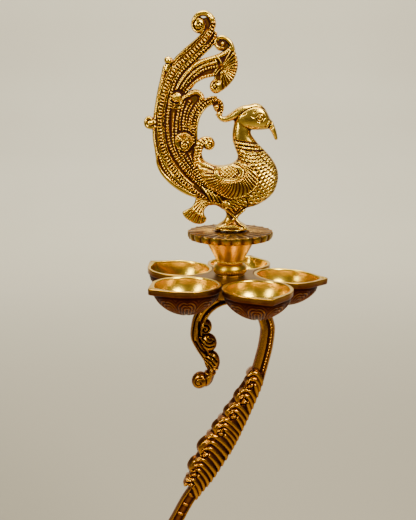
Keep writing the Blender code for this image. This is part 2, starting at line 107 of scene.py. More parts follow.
def wave(value, period, sharp=1.0):
    """A 0 to 1 wave; sharp below 1 widens its crests."""
    return (0.5 + 0.5 * np.cos(2 * pi * value / period)) ** sharp


def blurred(field, radius):
    """Three box blurs of a 2-D array, close to a Gaussian."""
    width = 2 * radius + 1
    for _ in range(3):
        for axis in (0, 1):
            pad = [(radius + 1, radius) if k == axis else (0, 0) for k in (0, 1)]
            total = np.cumsum(np.pad(field, pad, mode="edge"), axis=axis)
            ahead = np.take(total, range(width, total.shape[axis]), axis=axis)
            behind = np.take(total, range(0, total.shape[axis] - width), axis=axis)
            field = (ahead - behind) / width
    return field


class Relief:
    """A two-faced casting over an XZ grid: the square of its half thickness, and below
    zero outside its outline."""

    def __init__(self, low, high, grid):
        self.grid = grid
        self.x = np.arange(low[0], high[0], grid)
        self.z = np.arange(low[1], high[1], grid)
        self.square = np.full((len(self.x), len(self.z)), OUTSIDE)

    def window(self, low, high):
        """The slices of the grid between two corners, and their coordinates."""
        i0, i1 = np.searchsorted(self.x, (low[0], high[0]))
        j0, j1 = np.searchsorted(self.z, (low[1], high[1]))
        return (slice(i0, i1), slice(j0, j1)), self.x[i0:i1, None], self.z[None, j0:j1]

    def along(self, path, reach):
        """Distance from a path, run along it, and offset to its left, within a window."""
        area, xs, zs = self.window(path.min(0) - reach, path.max(0) + reach)
        shape = (xs.size, zs.size)
        best, run, offset = np.full(shape, reach), np.zeros(shape), np.full(shape, reach)
        gone = 0.0
        for (ax, az), (bx, bz) in zip(path, path[1:]):
            size = hypot(bx - ax, bz - az)
            i0, i1 = np.searchsorted(xs[:, 0], (min(ax, bx) - reach, max(ax, bx) + reach))
            j0, j1 = np.searchsorted(zs[0], (min(az, bz) - reach, max(az, bz) + reach))
            ux, uz = (bx - ax) / size, (bz - az) / size
            dx, dz = xs[i0:i1] - ax, zs[:, j0:j1] - az
            share = np.clip(dx * ux + dz * uz, 0, size)
            ox, oz = dx - share * ux, dz - share * uz
            distance = np.hypot(ox, oz)
            part = (slice(i0, i1), slice(j0, j1))
            closer = distance < best[part]
            best[part] = np.where(closer, distance, best[part])
            run[part] = np.where(closer, gone + share, run[part])
            side = np.where(ux * oz - uz * ox >= 0, 1.0, -1.0)
            offset[part] = np.where(closer, distance * side, offset[part])
            gone += size
        return area, best, run, offset, gone

    def join(self, area, square, soft=0.0):
        """Union by the greater; soft blends over that difference of squares."""
        here = self.square[area]
        if soft:
            mixed = np.clip(0.5 + 0.5 * (square - here) / soft, 0, 1)
            square = here + (square - here) * mixed + soft * mixed * (1 - mixed)
            self.square[area] = np.where(mixed > 0, square, here)
        else:
            self.square[area] = np.maximum(here, square)

    def stroke(self, points, half_width, profile, edge=0.5, spacing=0.7, soft=0.0):
        """Sweep a profile(run, across, share) along points; across is -1 to 1."""
        path = smooth_path(points, spacing)
        widths = np.atleast_1d(half_width)
        area, best, run, offset, length = self.along(path, widths.max() + 1.2)
        share = run / length
        width = np.interp(share, np.linspace(0, 1, len(widths)), widths)
        height = profile(run, np.clip(offset / width, -1, 1), share)
        square = np.minimum(height ** 2, height ** 2 * (width - best) / edge)
        self.join(area, np.where(best < width + 1.0, square, OUTSIDE), soft)

    def boss(self, centre, radii, height, lean=0.0, edge=0.5, soft=0.0):
        """An elliptical boss; height is a number (a dome) or height(rho, angle)."""
        reach = max(np.atleast_1d(radii)) + 1.0
        area, xs, zs = self.window(np.subtract(centre, reach), np.add(centre, reach))
        rx, rz = radii if np.ndim(radii) else (radii, radii)
        dx, dz = xs - centre[0], zs - centre[1]
        c, s = cos(radians(lean)), sin(radians(lean))
        u, v = (dx * c + dz * s) / rx, (dz * c - dx * s) / rz
        rho = np.hypot(u, v)
        if callable(height):
            top = height(np.minimum(rho, 1), np.arctan2(v, u))
            square = np.minimum(top ** 2, top ** 2 * (1 - rho) * min(rx, rz) / edge)
        else:
            square = height ** 2 * (1 - rho ** 2)
        self.join(area, square, soft)

    def depth(self, points, spacing=0.8):
        """Signed depth inside a smooth closed outline, within a window."""
        loop = smooth_path(list(points) + [points[0]], spacing)
        area, xs, zs = self.window(loop.min(0) - 1.2, loop.max(0) + 1.2)
        x, z = np.broadcast_arrays(xs, zs)
        inside = np.zeros(x.shape, bool)
        distance = np.full(x.shape, 1e9)
        for (ax, az), (bx, bz) in zip(loop, np.roll(loop, -1, axis=0)):
            if abs(bz - az) > 1e-12:
                crosses = (az > z) != (bz > z)
                inside ^= crosses & (x < ax + (z - az) / (bz - az) * (bx - ax))
            size = (bx - ax) ** 2 + (bz - az) ** 2 + 1e-12
            share = np.clip(((x - ax) * (bx - ax) + (z - az) * (bz - az)) / size, 0, 1)
            distance = np.minimum(
                distance, np.hypot(x - ax - share * (bx - ax), z - az - share * (bz - az)))
        return area, x, z, np.where(inside, distance, -distance)

    def plate(self, points, height, edge=0.8, soft=0.0):
        """A plate with a smooth closed outline; height(x, z, depth) or a number."""
        area, x, z, depth = self.depth(points)
        top = height(x, z, depth) if callable(height) else np.full(x.shape, float(height))
        self.join(area, np.minimum(top ** 2, top ** 2 * depth / edge), soft)

    def carve(self, points, half_width, deep, spacing=0.7):
        """A round-bottomed groove, which leaves at least a quarter of the thickness."""
        path = smooth_path(points, spacing)
        area, best, _, _, _ = self.along(path, half_width + 0.3)
        cut = deep * np.clip(1 - (best / half_width) ** 2, 0, 1)
        here = self.square[area]
        top = np.sqrt(np.maximum(here, 0))
        self.square[area] = np.where(here > 0, np.maximum(top - cut, 0.25 * top) ** 2, here)

    def lift(self, area, amount):
        """Add a height, or take it off, where the casting already is."""
        here = self.square[area]
        top = np.sqrt(np.maximum(here, 0))
        fade = np.clip(top / 1.2, 0, 1)
        self.square[area] = np.where(here > 0, np.maximum(top + amount * fade, 0) ** 2, here)

    def sample(self, field, x, z):
        """Bilinear values of a field on the grid."""
        fx = np.clip((x - self.x[0]) / self.grid, 0, len(self.x) - 1.001)
        fz = np.clip((z - self.z[0]) / self.grid, 0, len(self.z) - 1.001)
        i, j = fx.astype(int), fz.astype(int)
        tx, tz = fx - i, fz - j
        return ((field[i, j] * (1 - tx) + field[i + 1, j] * tx) * (1 - tz)
                + (field[i, j + 1] * (1 - tx) + field[i + 1, j + 1] * tx) * tz)

    def recesses(self, top):
        """How far each point lies below its surroundings: 1 in a groove, -1 on a crest."""
        reach = max(1, round(GROOVE_REACH / self.grid))
        covered = blurred((self.square > 0).astype(float), reach)
        around = blurred(top, reach) / np.maximum(covered, 0.3)
        sunk = np.clip((around - top) / GROOVE_DEPTH, -1, 1)
        return np.where(sunk > 0, sunk * step(0.62, 0.98, covered), sunk)

    def solid(self, top, bores):
        """The casting as a 3-D field, positive inside, and its depths; bores are upright
        on the lamp's axis, each (radius, low, high)."""
        broad = np.maximum(blurred(top, max(1, round(1.2 / self.grid))), 0.8)
        count = int(np.ceil((top.max() + 2 * self.grid) / self.grid))
        y = (np.arange(-count, count) + 0.5) * self.grid
        field = (self.square[:, None, :] - (y ** 2)[None, :, None]) / (2 * broad[:, None, :])
        for radius, low, high in bores:
            out = np.hypot(self.x[:, None], y[None, :])[:, :, None] - radius
            beyond = np.maximum(low - self.z, self.z - high)[None, None, :]
            field = np.minimum(field, np.maximum(out, beyond))
        return field.astype(np.float32), y

    def mesh(self, name, bores=()):
        """Skin both faces and the wall round the outline in one closed mesh."""
        top = np.sqrt(np.maximum(self.square, 0))
        field, y = self.solid(top, bores)
        verts, faces = skin(field, (self.x[0], y[0], self.z[0]), self.grid)
        recess = self.sample(self.recesses(top), verts[:, 0], verts[:, 2])
        here = self.sample(top, verts[:, 0], verts[:, 2])
        on_face = step(0.55, 0.9, np.abs(verts[:, 1]) / np.maximum(here, 0.3))
        recess = recess * on_face + 0.25 * (1 - on_face)
        verts[:, 2] += RIM_Z
        return mesh_object(name, verts, faces, {"recess": recess})


def skin(field, origin, grid):
    """Surface nets: a quad mesh of a 3-D field's zero level, inside where it is positive."""
    inside = field > 0
    nx, ny, nz = field.shape
    corners = [(a, b, c) for a in (0, 1) for b in (0, 1) for c in (0, 1)]

    def shifted(array, corner):
        a, b, c = corner
        return array[a:nx - 1 + a, b:ny - 1 + b, c:nz - 1 + c]

    held = sum(shifted(inside, corner).astype(np.int8) for corner in corners)
    cells = np.argwhere((held > 0) & (held < 8))
    number = np.full((nx - 1, ny - 1, nz - 1), -1, np.int32)
    number[tuple(cells.T)] = np.arange(len(cells))
    values = {corner: field[tuple((cells + corner).T)] for corner in corners}
    total, crossings = np.zeros((len(cells), 3)), np.zeros(len(cells))
    for first in corners:
        for axis in range(3):
            if first[axis]:
                continue
            second = tuple(v + (k == axis) for k, v in enumerate(first))
            va, vb = values[first], values[second]
            cut = (va > 0) != (vb > 0)
            t = va[cut] / (va[cut] - vb[cut])
            spot = np.tile(np.array(first, float), (cut.sum(), 1))
            spot[:, axis] += t
            total[cut] += spot
            crossings[cut] += 1
    verts = (cells + total / crossings[:, None]) * grid + origin
    faces = []
    for axis in range(3):
        u, v = (axis + 1) % 3, (axis + 2) % 3
        ahead = np.take(inside, range(1, inside.shape[axis]), axis)
        behind = np.take(inside, range(0, inside.shape[axis] - 1), axis)
        edges = np.argwhere(ahead != behind)
        edges = edges[(edges[:, u] > 0) & (edges[:, v] > 0)
                      & (edges[:, u] < number.shape[u]) & (edges[:, v] < number.shape[v])]
        quad = []
        for du, dv in ((-1, -1), (0, -1), (0, 0), (-1, 0)):
            cell = edges.copy()
            cell[:, u] += du
            cell[:, v] += dv
            quad.append(number[tuple(cell.T)])
        quad = np.stack(quad, axis=1)
        leaving = inside[tuple(edges.T)]
        quad[~leaving] = quad[~leaving][:, ::-1]
        faces.append(quad)
    return verts, np.vstack(faces)


# ---- objects -------------------------------------------------------------------------
def mesh_object(name, verts, faces, attributes=None):
    """A smooth mesh object from points in millimetres, with per-point attributes."""
    mesh = bpy.data.meshes.new(name)
    verts = np.asarray(verts, float)
    faces = np.asarray(faces)
    mesh.vertices.add(len(verts))
    mesh.vertices.foreach_set("co", (verts * MM).ravel())
    mesh.loops.add(faces.size)
    mesh.loops.foreach_set("vertex_index", faces.ravel().astype(np.int32))
    mesh.polygons.add(len(faces))
    starts = np.arange(len(faces), dtype=np.int32) * faces.shape[1]
    mesh.polygons.foreach_set("loop_start", starts)
    mesh.update(calc_edges=True)
    mesh.validate()
    for key, values in (attributes or {}).items():
        layer = mesh.attributes.new(key, "FLOAT", "POINT")
        layer.data.foreach_set("value", np.asarray(values, np.float32))
    mesh.shade_smooth()
    item = bpy.data.objects.new(name, mesh)
    bpy.context.scene.collection.objects.link(item)
    return item


def place(item, body, material, node):
    """Let a piece ride on a body, take a slot's finish and stand for its CAD node."""
    item.data.materials.clear()
    item.data.materials.append(material)
    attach(item, body)
    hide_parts(node)


# ---- rib profiles: half thickness over the run, the place across and the share of length ----
def round_rib(height):
    """A plain rib with a rounded top."""
    return lambda run, across, share: height * np.sqrt(1 - 0.8 * across ** 2)


def shaped_rib(height, roundness):
    """A rib whose height follows its length: height(share)."""
    return lambda run, across, share: height(share) * np.sqrt(1 - roundness * across ** 2)


def flat_top(height):
    """The top of a flat boss."""
    return lambda rho, angle: np.full(rho.shape, height)


def ladder_rib(height, pitch=1.65):
    """A rib with square bars across its middle and a fine ridge down each side."""
    def profile(run, across, share):
        side = np.abs(across)
        bars = 0.5 + 0.5 * wave(run, pitch, 0.7)
        middle = bars * np.sqrt(1 - 0.35 * (side / 0.7) ** 2)
        ridge = 0.76 + 0.14 * np.sqrt(np.clip(1 - ((side - 0.86) / 0.14) ** 2, 0, 1))
        groove = 0.56
        return height * np.where(side < 0.62, middle, np.where(side < 0.72, groove, ridge))
    return profile


def bead_rib(height, pitch=1.6, cut=0.62):
    """A rib cast as a row of round beads."""
    def profile(run, across, share):
        phase = 2 * ((run / pitch) % 1) - 1
        bead = np.sqrt(np.clip(1 - 1.2 * phase ** 2 - 0.5 * across ** 2, 0, 1))
        return height * (1 - cut + cut * bead) * np.sqrt(1 - 0.45 * across ** 2)
    return profile


def rope_rib(height, pitch=1.5):
    """A rib twisted like a cord."""
    def profile(run, across, share):
        turn = wave(run + 0.9 * across, pitch, 0.7)
        return height * (0.74 + 0.26 * turn) * np.sqrt(1 - 0.7 * across ** 2)
    return profile


# ---- peacock's tail ---------------------------------------------------------------------
def offset_path(points, distance):
    """The evenly spaced curve through points, moved to its left by a distance."""
    path = smooth_path(points, 0.8)
    along = np.gradient(path, axis=0)
    along /= np.linalg.norm(along, axis=1)[:, None]
    return path + distance * np.stack([-along[:, 1], along[:, 0]], axis=1)


def between(path, low, high):
    """The part of a rising path between two heights."""
    return path[(path[:, 1] > low) & (path[:, 1] < high)]


TAIL_EDGE = [(-37.9, 121.8), (-39.3, 116), (-40.7, 110.5), (-41.9, 105), (-42.9, 99.5),
             (-43.8, 94), (-44.3, 88.5), (-44.4, 83), (-43.8, 77.5), (-42.6, 72.5)]
BARRED_PLUME = [(-14.5, 46.8), (-20, 50), (-25, 53.9), (-29.6, 58.4), (-33.6, 63.4),
                (-36.8, 68.8), (-39, 74.4), (-40.3, 80.2), (-40.9, 86), (-41, 91.5),
                (-40.5, 97), (-39.6, 102), (-38.3, 107), (-36.8, 111.5), (-35, 115.8),
                (-32.6, 119.6), (-29.6, 123), (-26, 126.4), (-22, 130), (-18, 133.6),
                (-14.2, 137.6), (-11.4, 141.6), (-10.2, 145.2), (-10.8, 148.4)]
BEADED_PLUME = [(-10.6, 48.4), (-15.6, 52.4), (-20.8, 57), (-25.8, 62.2), (-30.2, 68),
                (-33.6, 73.8), (-35.6, 79.4), (-36.4, 85), (-36.6, 91), (-36, 97),
                (-35, 103), (-33.8, 108.6), (-31.8, 114), (-29, 118.4), (-25.4, 122.2),
                (-21.4, 125.9), (-17, 129.8), (-12.6, 134), (-9.8, 137.8), (-8.9, 140.4)]
INNER_PLUME = [(-9.6, 50), (-14.8, 54.7), (-19, 59), (-23.2, 63.6), (-26.9, 68.4),
               (-29.6, 73.4), (-31.2, 78.6), (-31.7, 84.4), (-31.3, 90), (-30.5, 95.6),
               (-29.6, 99.4)]


def tail_web(tail):
    """The low ground that joins the plumes, with the arms' gaps left open."""
    web = [(-20, 46.6), (-27.4, 49.8), (-33.9, 54.2), (-39, 59.4), (-43, 65.4), (-43.8, 70.4),
           (-44.4, 75), (-45.2, 81), (-45.3, 88), (-44.8, 94), (-43.9, 99.5), (-42.9, 105),
           (-41.7, 110.5), (-40.3, 116), (-38.6, 122.4), (-34.6, 124.6), (-30, 125.4),
           (-25, 126.4), (-21.6, 124.8), (-20.8, 121), (-19.4, 117), (-22, 113.6),
           (-24.6, 110.6), (-26.4, 107.6), (-22.6, 106.8), (-18, 106), (-14.4, 104.4),
           (-11.4, 104.6), (-13.6, 101), (-17, 97), (-19.2, 92.4), (-20, 86), (-19.6, 80.5),
           (-17.4, 76), (-16, 70), (-12, 66), (-6, 62), (-6, 52), (-12, 47)]
    tail.plate(web, 1.45, edge=0.5)
    band = between(offset_path(BARRED_PLUME, 0.4), 119, 141)
    tail.stroke(band, (3.4, 4.3, 4.3, 3.9, 3.3), round_rib(1.75), spacing=0.9)
    tail.plate([(-16, 148.6), (-12, 148.6), (-11.6, 141), (-14.4, 138.4), (-17.2, 141.6)], 1.2)
    tail.plate([(-29, 109), (-24.5, 118.6), (-20, 122.8), (-14, 125.8), (-7.6, 127),
                (-6, 121.6), (-8.6, 117), (-14.6, 116), (-19.4, 113.2), (-23.6, 108.8)], 1.5)


def tail_plumes(tail):
    """The long plumes: a barred one up to the hook, and beaded ones inside it."""
    barred = smooth_path(BARRED_PLUME, 0.8)
    tail.stroke([(-42.7, 71.2), (-42.8, 67.4), (-40.2, 62), (-36.4, 57.6), (-31.4, 53.4),
                 (-25.8, 50), (-20, 47.8)], (0.5, 1.2, 1.5, 1.5, 1.3), round_rib(2.0))
    tail.stroke([(-42.6, 88), (-42.5, 82), (-41.9, 77), (-40.6, 71.8), (-37.9, 66),
                 (-34.2, 60.6), (-29, 55.4), (-23, 51)], (0.6, 0.9, 0.9), round_rib(2.05))
    tail.stroke(TAIL_EDGE, (1.15, 1.1, 1.1, 1.0), rope_rib(2.15, 1.3))
    tail.stroke([(-41.6, 72.4), (-40, 67.2), (-37.3, 62), (-33.6, 57.2), (-28.8, 53),
                 (-23, 49.6)], (0.7, 1.15, 1.15, 1.0), bead_rib(2.4, 1.6))
    tail.stroke(BEADED_PLUME, (0.9, 1.2, 1.25, 1.25, 1.15, 1.1), bead_rib(2.8, 1.7, 0.7))
    for shift, low, high in ((-2.3, 54, 134), (2.3, 96, 123)):
        tail.stroke(between(offset_path(BARRED_PLUME, shift), low, high), 0.55,
                    round_rib(2.15), spacing=0.9)
    tail.stroke(barred, (1.2, 1.7, 1.75, 1.75, 1.7, 1.7, 1.6), ladder_rib(3.0, 1.85))
    for shift in (2.45, 3.65):
        tail.stroke(between(offset_path(BARRED_PLUME, shift), 120.5, 139.8 + shift * 0.5),
                    (0.35, 0.62, 0.62, 0.5), round_rib(2.45 - 0.1 * shift), spacing=0.9)
    tail.stroke(between(offset_path(BEADED_PLUME, -1.6), 120, 137), 0.5, round_rib(2.0))
    tail.stroke(INNER_PLUME, (0.8, 1.15, 1.15, 1.05), bead_rib(2.7, 1.65, 0.7))
    tail.stroke([(-14.6, 53.2), (-19.6, 57.6), (-24, 62.2), (-28.1, 67.2), (-31.3, 72.6),
                 (-33, 78), (-33.6, 84), (-33.4, 90), (-32.8, 96)], (0.5, 0.8, 0.85, 0.6),
                bead_rib(2.4, 1.6, 0.5))
    columns = [[(-27.4, 86), (-27.5, 91), (-26.6, 96), (-24.8, 100.4), (-23.2, 103.4)],
               [(-24.2, 85.4), (-24.1, 90.6), (-22.8, 95.4), (-20.2, 99.8), (-18, 102.2)],
               [(-27.6, 73.4), (-24.8, 69.2), (-21.7, 64.8), (-18.2, 60.2), (-14.4, 55.8),
                (-10.4, 52)]]
    for column in columns:
        tail.stroke(column, 1.1, bead_rib(2.7, 1.65, 0.7))
    for ridge in ([(-29.4, 86), (-29.3, 92), (-28, 98.4), (-26.6, 102.4)],
                  [(-25.8, 85.6), (-25.8, 91), (-24.8, 96), (-22.2, 101)],
                  [(-24.2, 73), (-22.2, 68.4), (-19.6, 63.6), (-16.4, 59)],
                  [(-23, 84.6), (-22.9, 90), (-21.6, 95.4), (-18.6, 100), (-15.4, 102.9),
                   (-12, 104.7), (-8.6, 105)]):
        tail.stroke(ridge, 0.78, bead_rib(2.35, 1.6, 0.5))
    tail.stroke([(-20.8, 76.6), (-20.4, 70), (-18.8, 64.8), (-16.4, 60), (-13.4, 55.6),
                 (-9, 51.2)], (0.9, 1.1, 1.0), bead_rib(2.5, 1.6))
    tail.stroke([(-19.8, 79.4), (-19.95, 85.6), (-19.3, 90.6), (-17.8, 94.8), (-15.3, 98.4),
                 (-12.6, 100.6), (-10.6, 101.2)], 0.8, round_rib(2.0))
    tail.stroke([(-21.5, 79.4), (-21.7, 85), (-21.3, 89.6), (-20, 94.2), (-17.6, 98.4),
                 (-14.6, 101.3), (-11.2, 102.9), (-8, 103.2), (-5.9, 101.7), (-5.2, 99),
                 (-5.8, 96.4), (-6.9, 94)], (1.2, 1.35, 1.35, 1.3, 1.3, 1.2),
                ladder_rib(2.8, 1.6))


def tail_scrolls(tail):
    """The hook's bulb, the knobs on the edge, the eyes, and the curl over the back."""
    tail.boss((-18.5, 144.8), (4.1, 4.7), 3.4, lean=12)
    tail.stroke([(-10.7, 147.2), (-12.3, 149.9), (-15.4, 151.2), (-18.7, 150.4), (-21, 148),
                 (-21.9, 145), (-21.2, 142.4), (-19.6, 141)], (1.7, 1.7, 1.6, 1.5, 1.2, 0.9, 0.7),
                round_rib(2.9))
    tail.carve(spiral((-18.3, 144.6), (3.3, 0.6), (130, 520), 20), 0.5, 0.9)
    tail.carve(smooth_path([(-11.4, 148.6), (-13, 150.4), (-15.6, 151.2), (-18.7, 150.4),
                            (-21, 148), (-21.9, 145)], 0.8), 0.3, 0.35)
    tail.boss((-8.2, 99.4), 1.8, 3.0)
    tail.plate([(-11, 102.6), (-6.4, 102.4), (-6.2, 97.4), (-8.4, 96.6), (-10, 98.4)], 1.5)

    # a knob on the outer edge below the fan, and one lower down
    tail.stroke([(-36.6, 120.4), (-35.7, 123.4)], (1.6, 1.9), round_rib(2.3))
    tail.boss((-35.6, 125.3), (2.7, 2.3), 3.3, lean=-28)
    tail.carve([(-38, 123.8), (-35.6, 123.6), (-33.4, 122.6)], 0.45, 0.8)
    tail.stroke([(-43.6, 90.6), (-47, 93.3), (-49, 91.6), (-48.9, 89), (-46.8, 87.8),
                 (-43.8, 88)], (1.0, 1.1, 1.2, 1.2, 1.2), round_rib(2.5))
    tail.boss((-46.6, 90.4), (2.5, 2.2), 3.0)
    tail.carve([(-49, 92.4), (-46.8, 91.8), (-44.4, 92.2)], 0.4, 0.6)

    # the eye inside the plumes, and the rope lobe beside it
    tail.boss((-31.2, 104.9), 3.3, 3.9)
    tail.carve(spiral((-31.2, 104.9), (2.1, 0.6), (0, 400)), 0.4, 0.35)
    for k, (reach, low, high) in enumerate(((4.3, 190, 325), (5.4, 205, 320), (6.5, 225, 300))):
        tail.stroke(spiral((-31.3, 104.9), (reach, reach), (low, high)), 0.48,
                    round_rib(2.55 - 0.15 * k))
    tail.stroke([(-29.2, 101.2), (-27.6, 104.4), (-24.6, 106.2), (-21.8, 107.6), (-19.2, 107.6),
                 (-17, 106), (-16.3, 104)], (1.1, 1.3, 1.4, 1.6, 1.7, 1.5, 1.2),
                rope_rib(2.9, 1.45))
    tail.boss((-17, 104.2), (1.7, 1.5), 2.9)

    def hatched(rho, angle):
        """Fine rays round the upper edge of the lower eye."""
        crown = step(-0.15, 0.35, np.sin(angle))
        lines = wave(np.degrees(angle), 20, 0.8)
        return 2.9 + (0.3 + 0.9 * lines) * crown - 0.3 * step(0.8, 1, rho)

    tail.boss((-27.2, 79.9), (5.9, 5.7), hatched, edge=0.8)
    tail.boss((-26.6, 77.6), (4.1, 3.9), 4.4)
    tail.carve(spiral((-26.6, 77.6), (3.0, 0.5), (150, 700), 24), 0.5, 0.95)

    # the curl at the root, over the back
    tail.stroke([(-20.5, 66), (-19.4, 72), (-18.2, 77), (-15.6, 79.6), (-12.6, 79.6)],
                (1.4, 2.3, 2.6, 2.9, 2.9), rope_rib(3.1, 1.8))
    tail.boss((-12.7, 78.3), (3.6, 3.7), 3.9)
    tail.carve(spiral((-12.7, 78.2), (2.9, 0.4), (200, 560)), 0.45, 0.8)


def tail_fan(tail):
    """Four arms from the plumes to a rayed fan with a scroll at each end."""
    arms = [
        ([(-31.4, 109.4), (-29, 113.6), (-25.9, 117.8), (-22, 121.6), (-17.4, 124.4),
          (-12.4, 126), (-7.8, 127.4), (-3.6, 129.4), (-0.4, 132)], (1.0, 1.5, 1.6, 1.5),
         bead_rib(2.6, 1.3, 0.25)),
        ([(-29, 109.2), (-26.4, 113.4), (-23, 117.2), (-18.8, 120.6), (-14, 123),
          (-8.6, 124.4)], (0.8, 1.1, 1.2), bead_rib(2.7, 1.6, 0.25)),
        ([(-27.6, 108.4), (-25, 112.4), (-21.6, 116), (-17.4, 119.2), (-13, 121.2),
          (-8.2, 122)], (0.8, 1.1, 1.3), bead_rib(2.6, 1.6, 0.7)),
        ([(-26.4, 107.2), (-23.4, 111), (-19.6, 114.2), (-15.6, 116.3), (-11.4, 117.3),
          (-7.6, 118)], (0.8, 1.15, 1.2), bead_rib(2.4, 1.6, 0.6)),
    ]
    outline = [(-6, 127.6), (-3, 130), (-0.6, 132.6), (1.3, 132.7), (2.6, 130), (3.5, 127),
               (3.95, 123.6), (3.6, 120.4), (2.7, 117.4), (1.2, 114.4), (-1.2, 111.6),
               (-4, 109.2), (-7, 107.4), (-9.6, 107), (-11.2, 110), (-10.4, 113.6),
               (-9.6, 116.4), (-9.6, 121), (-8.4, 125)]

    def rays(x, z, depth):
        """Ridges that spread from the fan's hub, notched at its edge."""
        dx, dz = x + 5.6, z - 121.4
        angle = np.degrees(np.arctan2(dz, dx))
        out = np.hypot(dx, dz)
        front = step(-100, -88, angle) * step(72, 60, angle)
        ridge = wave(angle - 2, 11.7, 0.7) * step(1.4, 2.8, out) * front
        notch = 0.5 * (1 - wave(angle - 2, 11.7, 0.9)) * step(1.3, 0.2, depth)
        return 1.5 + 1.0 * ridge + 0.5 * step(2.6, 1.4, out) - notch * front

    tail.plate(outline, rays, edge=0.6)
    for points, widths, profile in arms:
        tail.stroke(points, widths, profile)
    for points, widths, height in (
            ([(-7.4, 127.2), (-5.9, 124.4), (-5.2, 121.6)], (0.7, 0.8, 0.5), 3.0),
            ([(-8.9, 117.6), (-7.2, 119.6), (-5.2, 121.4)], (0.7, 0.8, 0.5), 3.0),
            ([(-9.2, 125.6), (-7.8, 121.8), (-9.6, 118.6)], (0.7, 0.8, 0.6), 2.7)):
        tail.stroke(points, widths, round_rib(height))
    tail.boss((-5.5, 134.6), (4.2, 4.1), flat_top(1.7))
    tail.stroke([(0.8, 131.6), (-0.4, 134.8), (-2.8, 137.2), (-5.8, 138), (-8.4, 136.8),
                 (-9, 134.4), (-7.4, 132.4), (-5, 132.2)], (1.5, 1.4, 1.3, 1.3, 1.2, 1.1, 0.9),
                round_rib(2.8))
    tail.boss((-4.9, 134.6), (1.7, 1.6), 3.1)
    tail.boss((-8.6, 111), (3.7, 4.1), 3.1)
    tail.carve(spiral((-8.8, 111), (2.5, 0.3), (60, 400)), 0.55, 0.9)


def tail_leaf(tail):
    """The veined leaf that hangs under the root of the tail."""
    leaf = [(-9, 46), (-15, 47.4), (-20, 47), (-21.2, 44), (-23, 41.4), (-26.2, 39.6),
            (-28.4, 38.2), (-27.4, 35.6), (-25, 33.4), (-21.6, 31.6), (-18, 31), (-15.2, 32),
            (-13.9, 34.4), (-15.2, 36.6), (-15.4, 39), (-13.8, 41.4), (-10.6, 42.8), (-6, 42.4)]

    def leafage(x, z, depth):
        """Veins that spread from the leaf's root, inside a beaded hem."""
        angle = np.degrees(np.arctan2(z - 49, x + 12.5))
        out = np.hypot(z - 49, x + 12.5)
        blade = 1.6 + 0.55 * wave(angle, 8.4, 0.8)
        hem = 2.3 - 0.5 * np.minimum(np.abs((out - 13.2) / 1.1), 1) + 0.3 * wave(angle, 8.4)
        return np.where(out > 12.0, hem, blade)

    tail.plate(leaf, leafage, edge=0.7)
    root = [(-13, 51), (-9, 50), (-4, 47), (-2.4, 45.6), (-2.4, 40), (-4.6, 39.9),
            (-6.6, 41.3), (-9.4, 42.4), (-12.6, 42.3), (-14.4, 45)]
    tail.plate(root, 1.8, edge=0.8)
    for rib in ([(-16.4, 53), (-13.2, 49), (-11.6, 45.6)],
                [(-13.4, 51.8), (-10.6, 48), (-9.2, 45.4)],
                [(-10.8, 50.2), (-8.4, 47.4), (-7.2, 45)],
                [(-8, 48.6), (-5.8, 46.6), (-4.8, 44.6)]):
        tail.stroke(rib, 0.95, round_rib(2.9))
    tail.stroke([(-12.4, 44), (-8, 43.6), (-3.6, 42.6)], 1.1, round_rib(2.7), edge=0.6)


def tail_relief():
    """The cast tail: web, hanging leaf, plumes, fan and scrolls."""
    tail = Relief((-52, 28.5), (8, 154.5), PEACOCK_GRID)
    tail_web(tail)
    tail_leaf(tail)
    tail_plumes(tail)
    tail_fan(tail)
    tail_scrolls(tail)
    return tail


# ---- peacock's body ---------------------------------------------------------------------
def breast_scales(bird):
    """Overlapping scales in rows that sag across the breast."""
    area, xs, zs = bird.window((-4, 38), (29, 76))
    x, z = np.broadcast_arrays(xs, zs)
    rows = (z - 0.028 * (x - 13) ** 2) / 2.05
    row = np.floor(rows)
    up = rows - row
    along = ((x + 0.12 * z) / 2.9 + 0.5 * (row % 2)) % 1
    side = np.abs(2 * along - 1)
    tip = step(0.0, 0.34, up - 0.32 * side ** 2)
    bump = (0.35 + 0.65 * (1 - up) ** 0.8) * tip * (1 - 0.35 * side ** 2)
    front = step(75.0, 74.0, z) * step(39.5, 41.5, z) * step(-3, -0.5, x)
    bird.lift(area, (1.25 * bump - 0.65) * front)


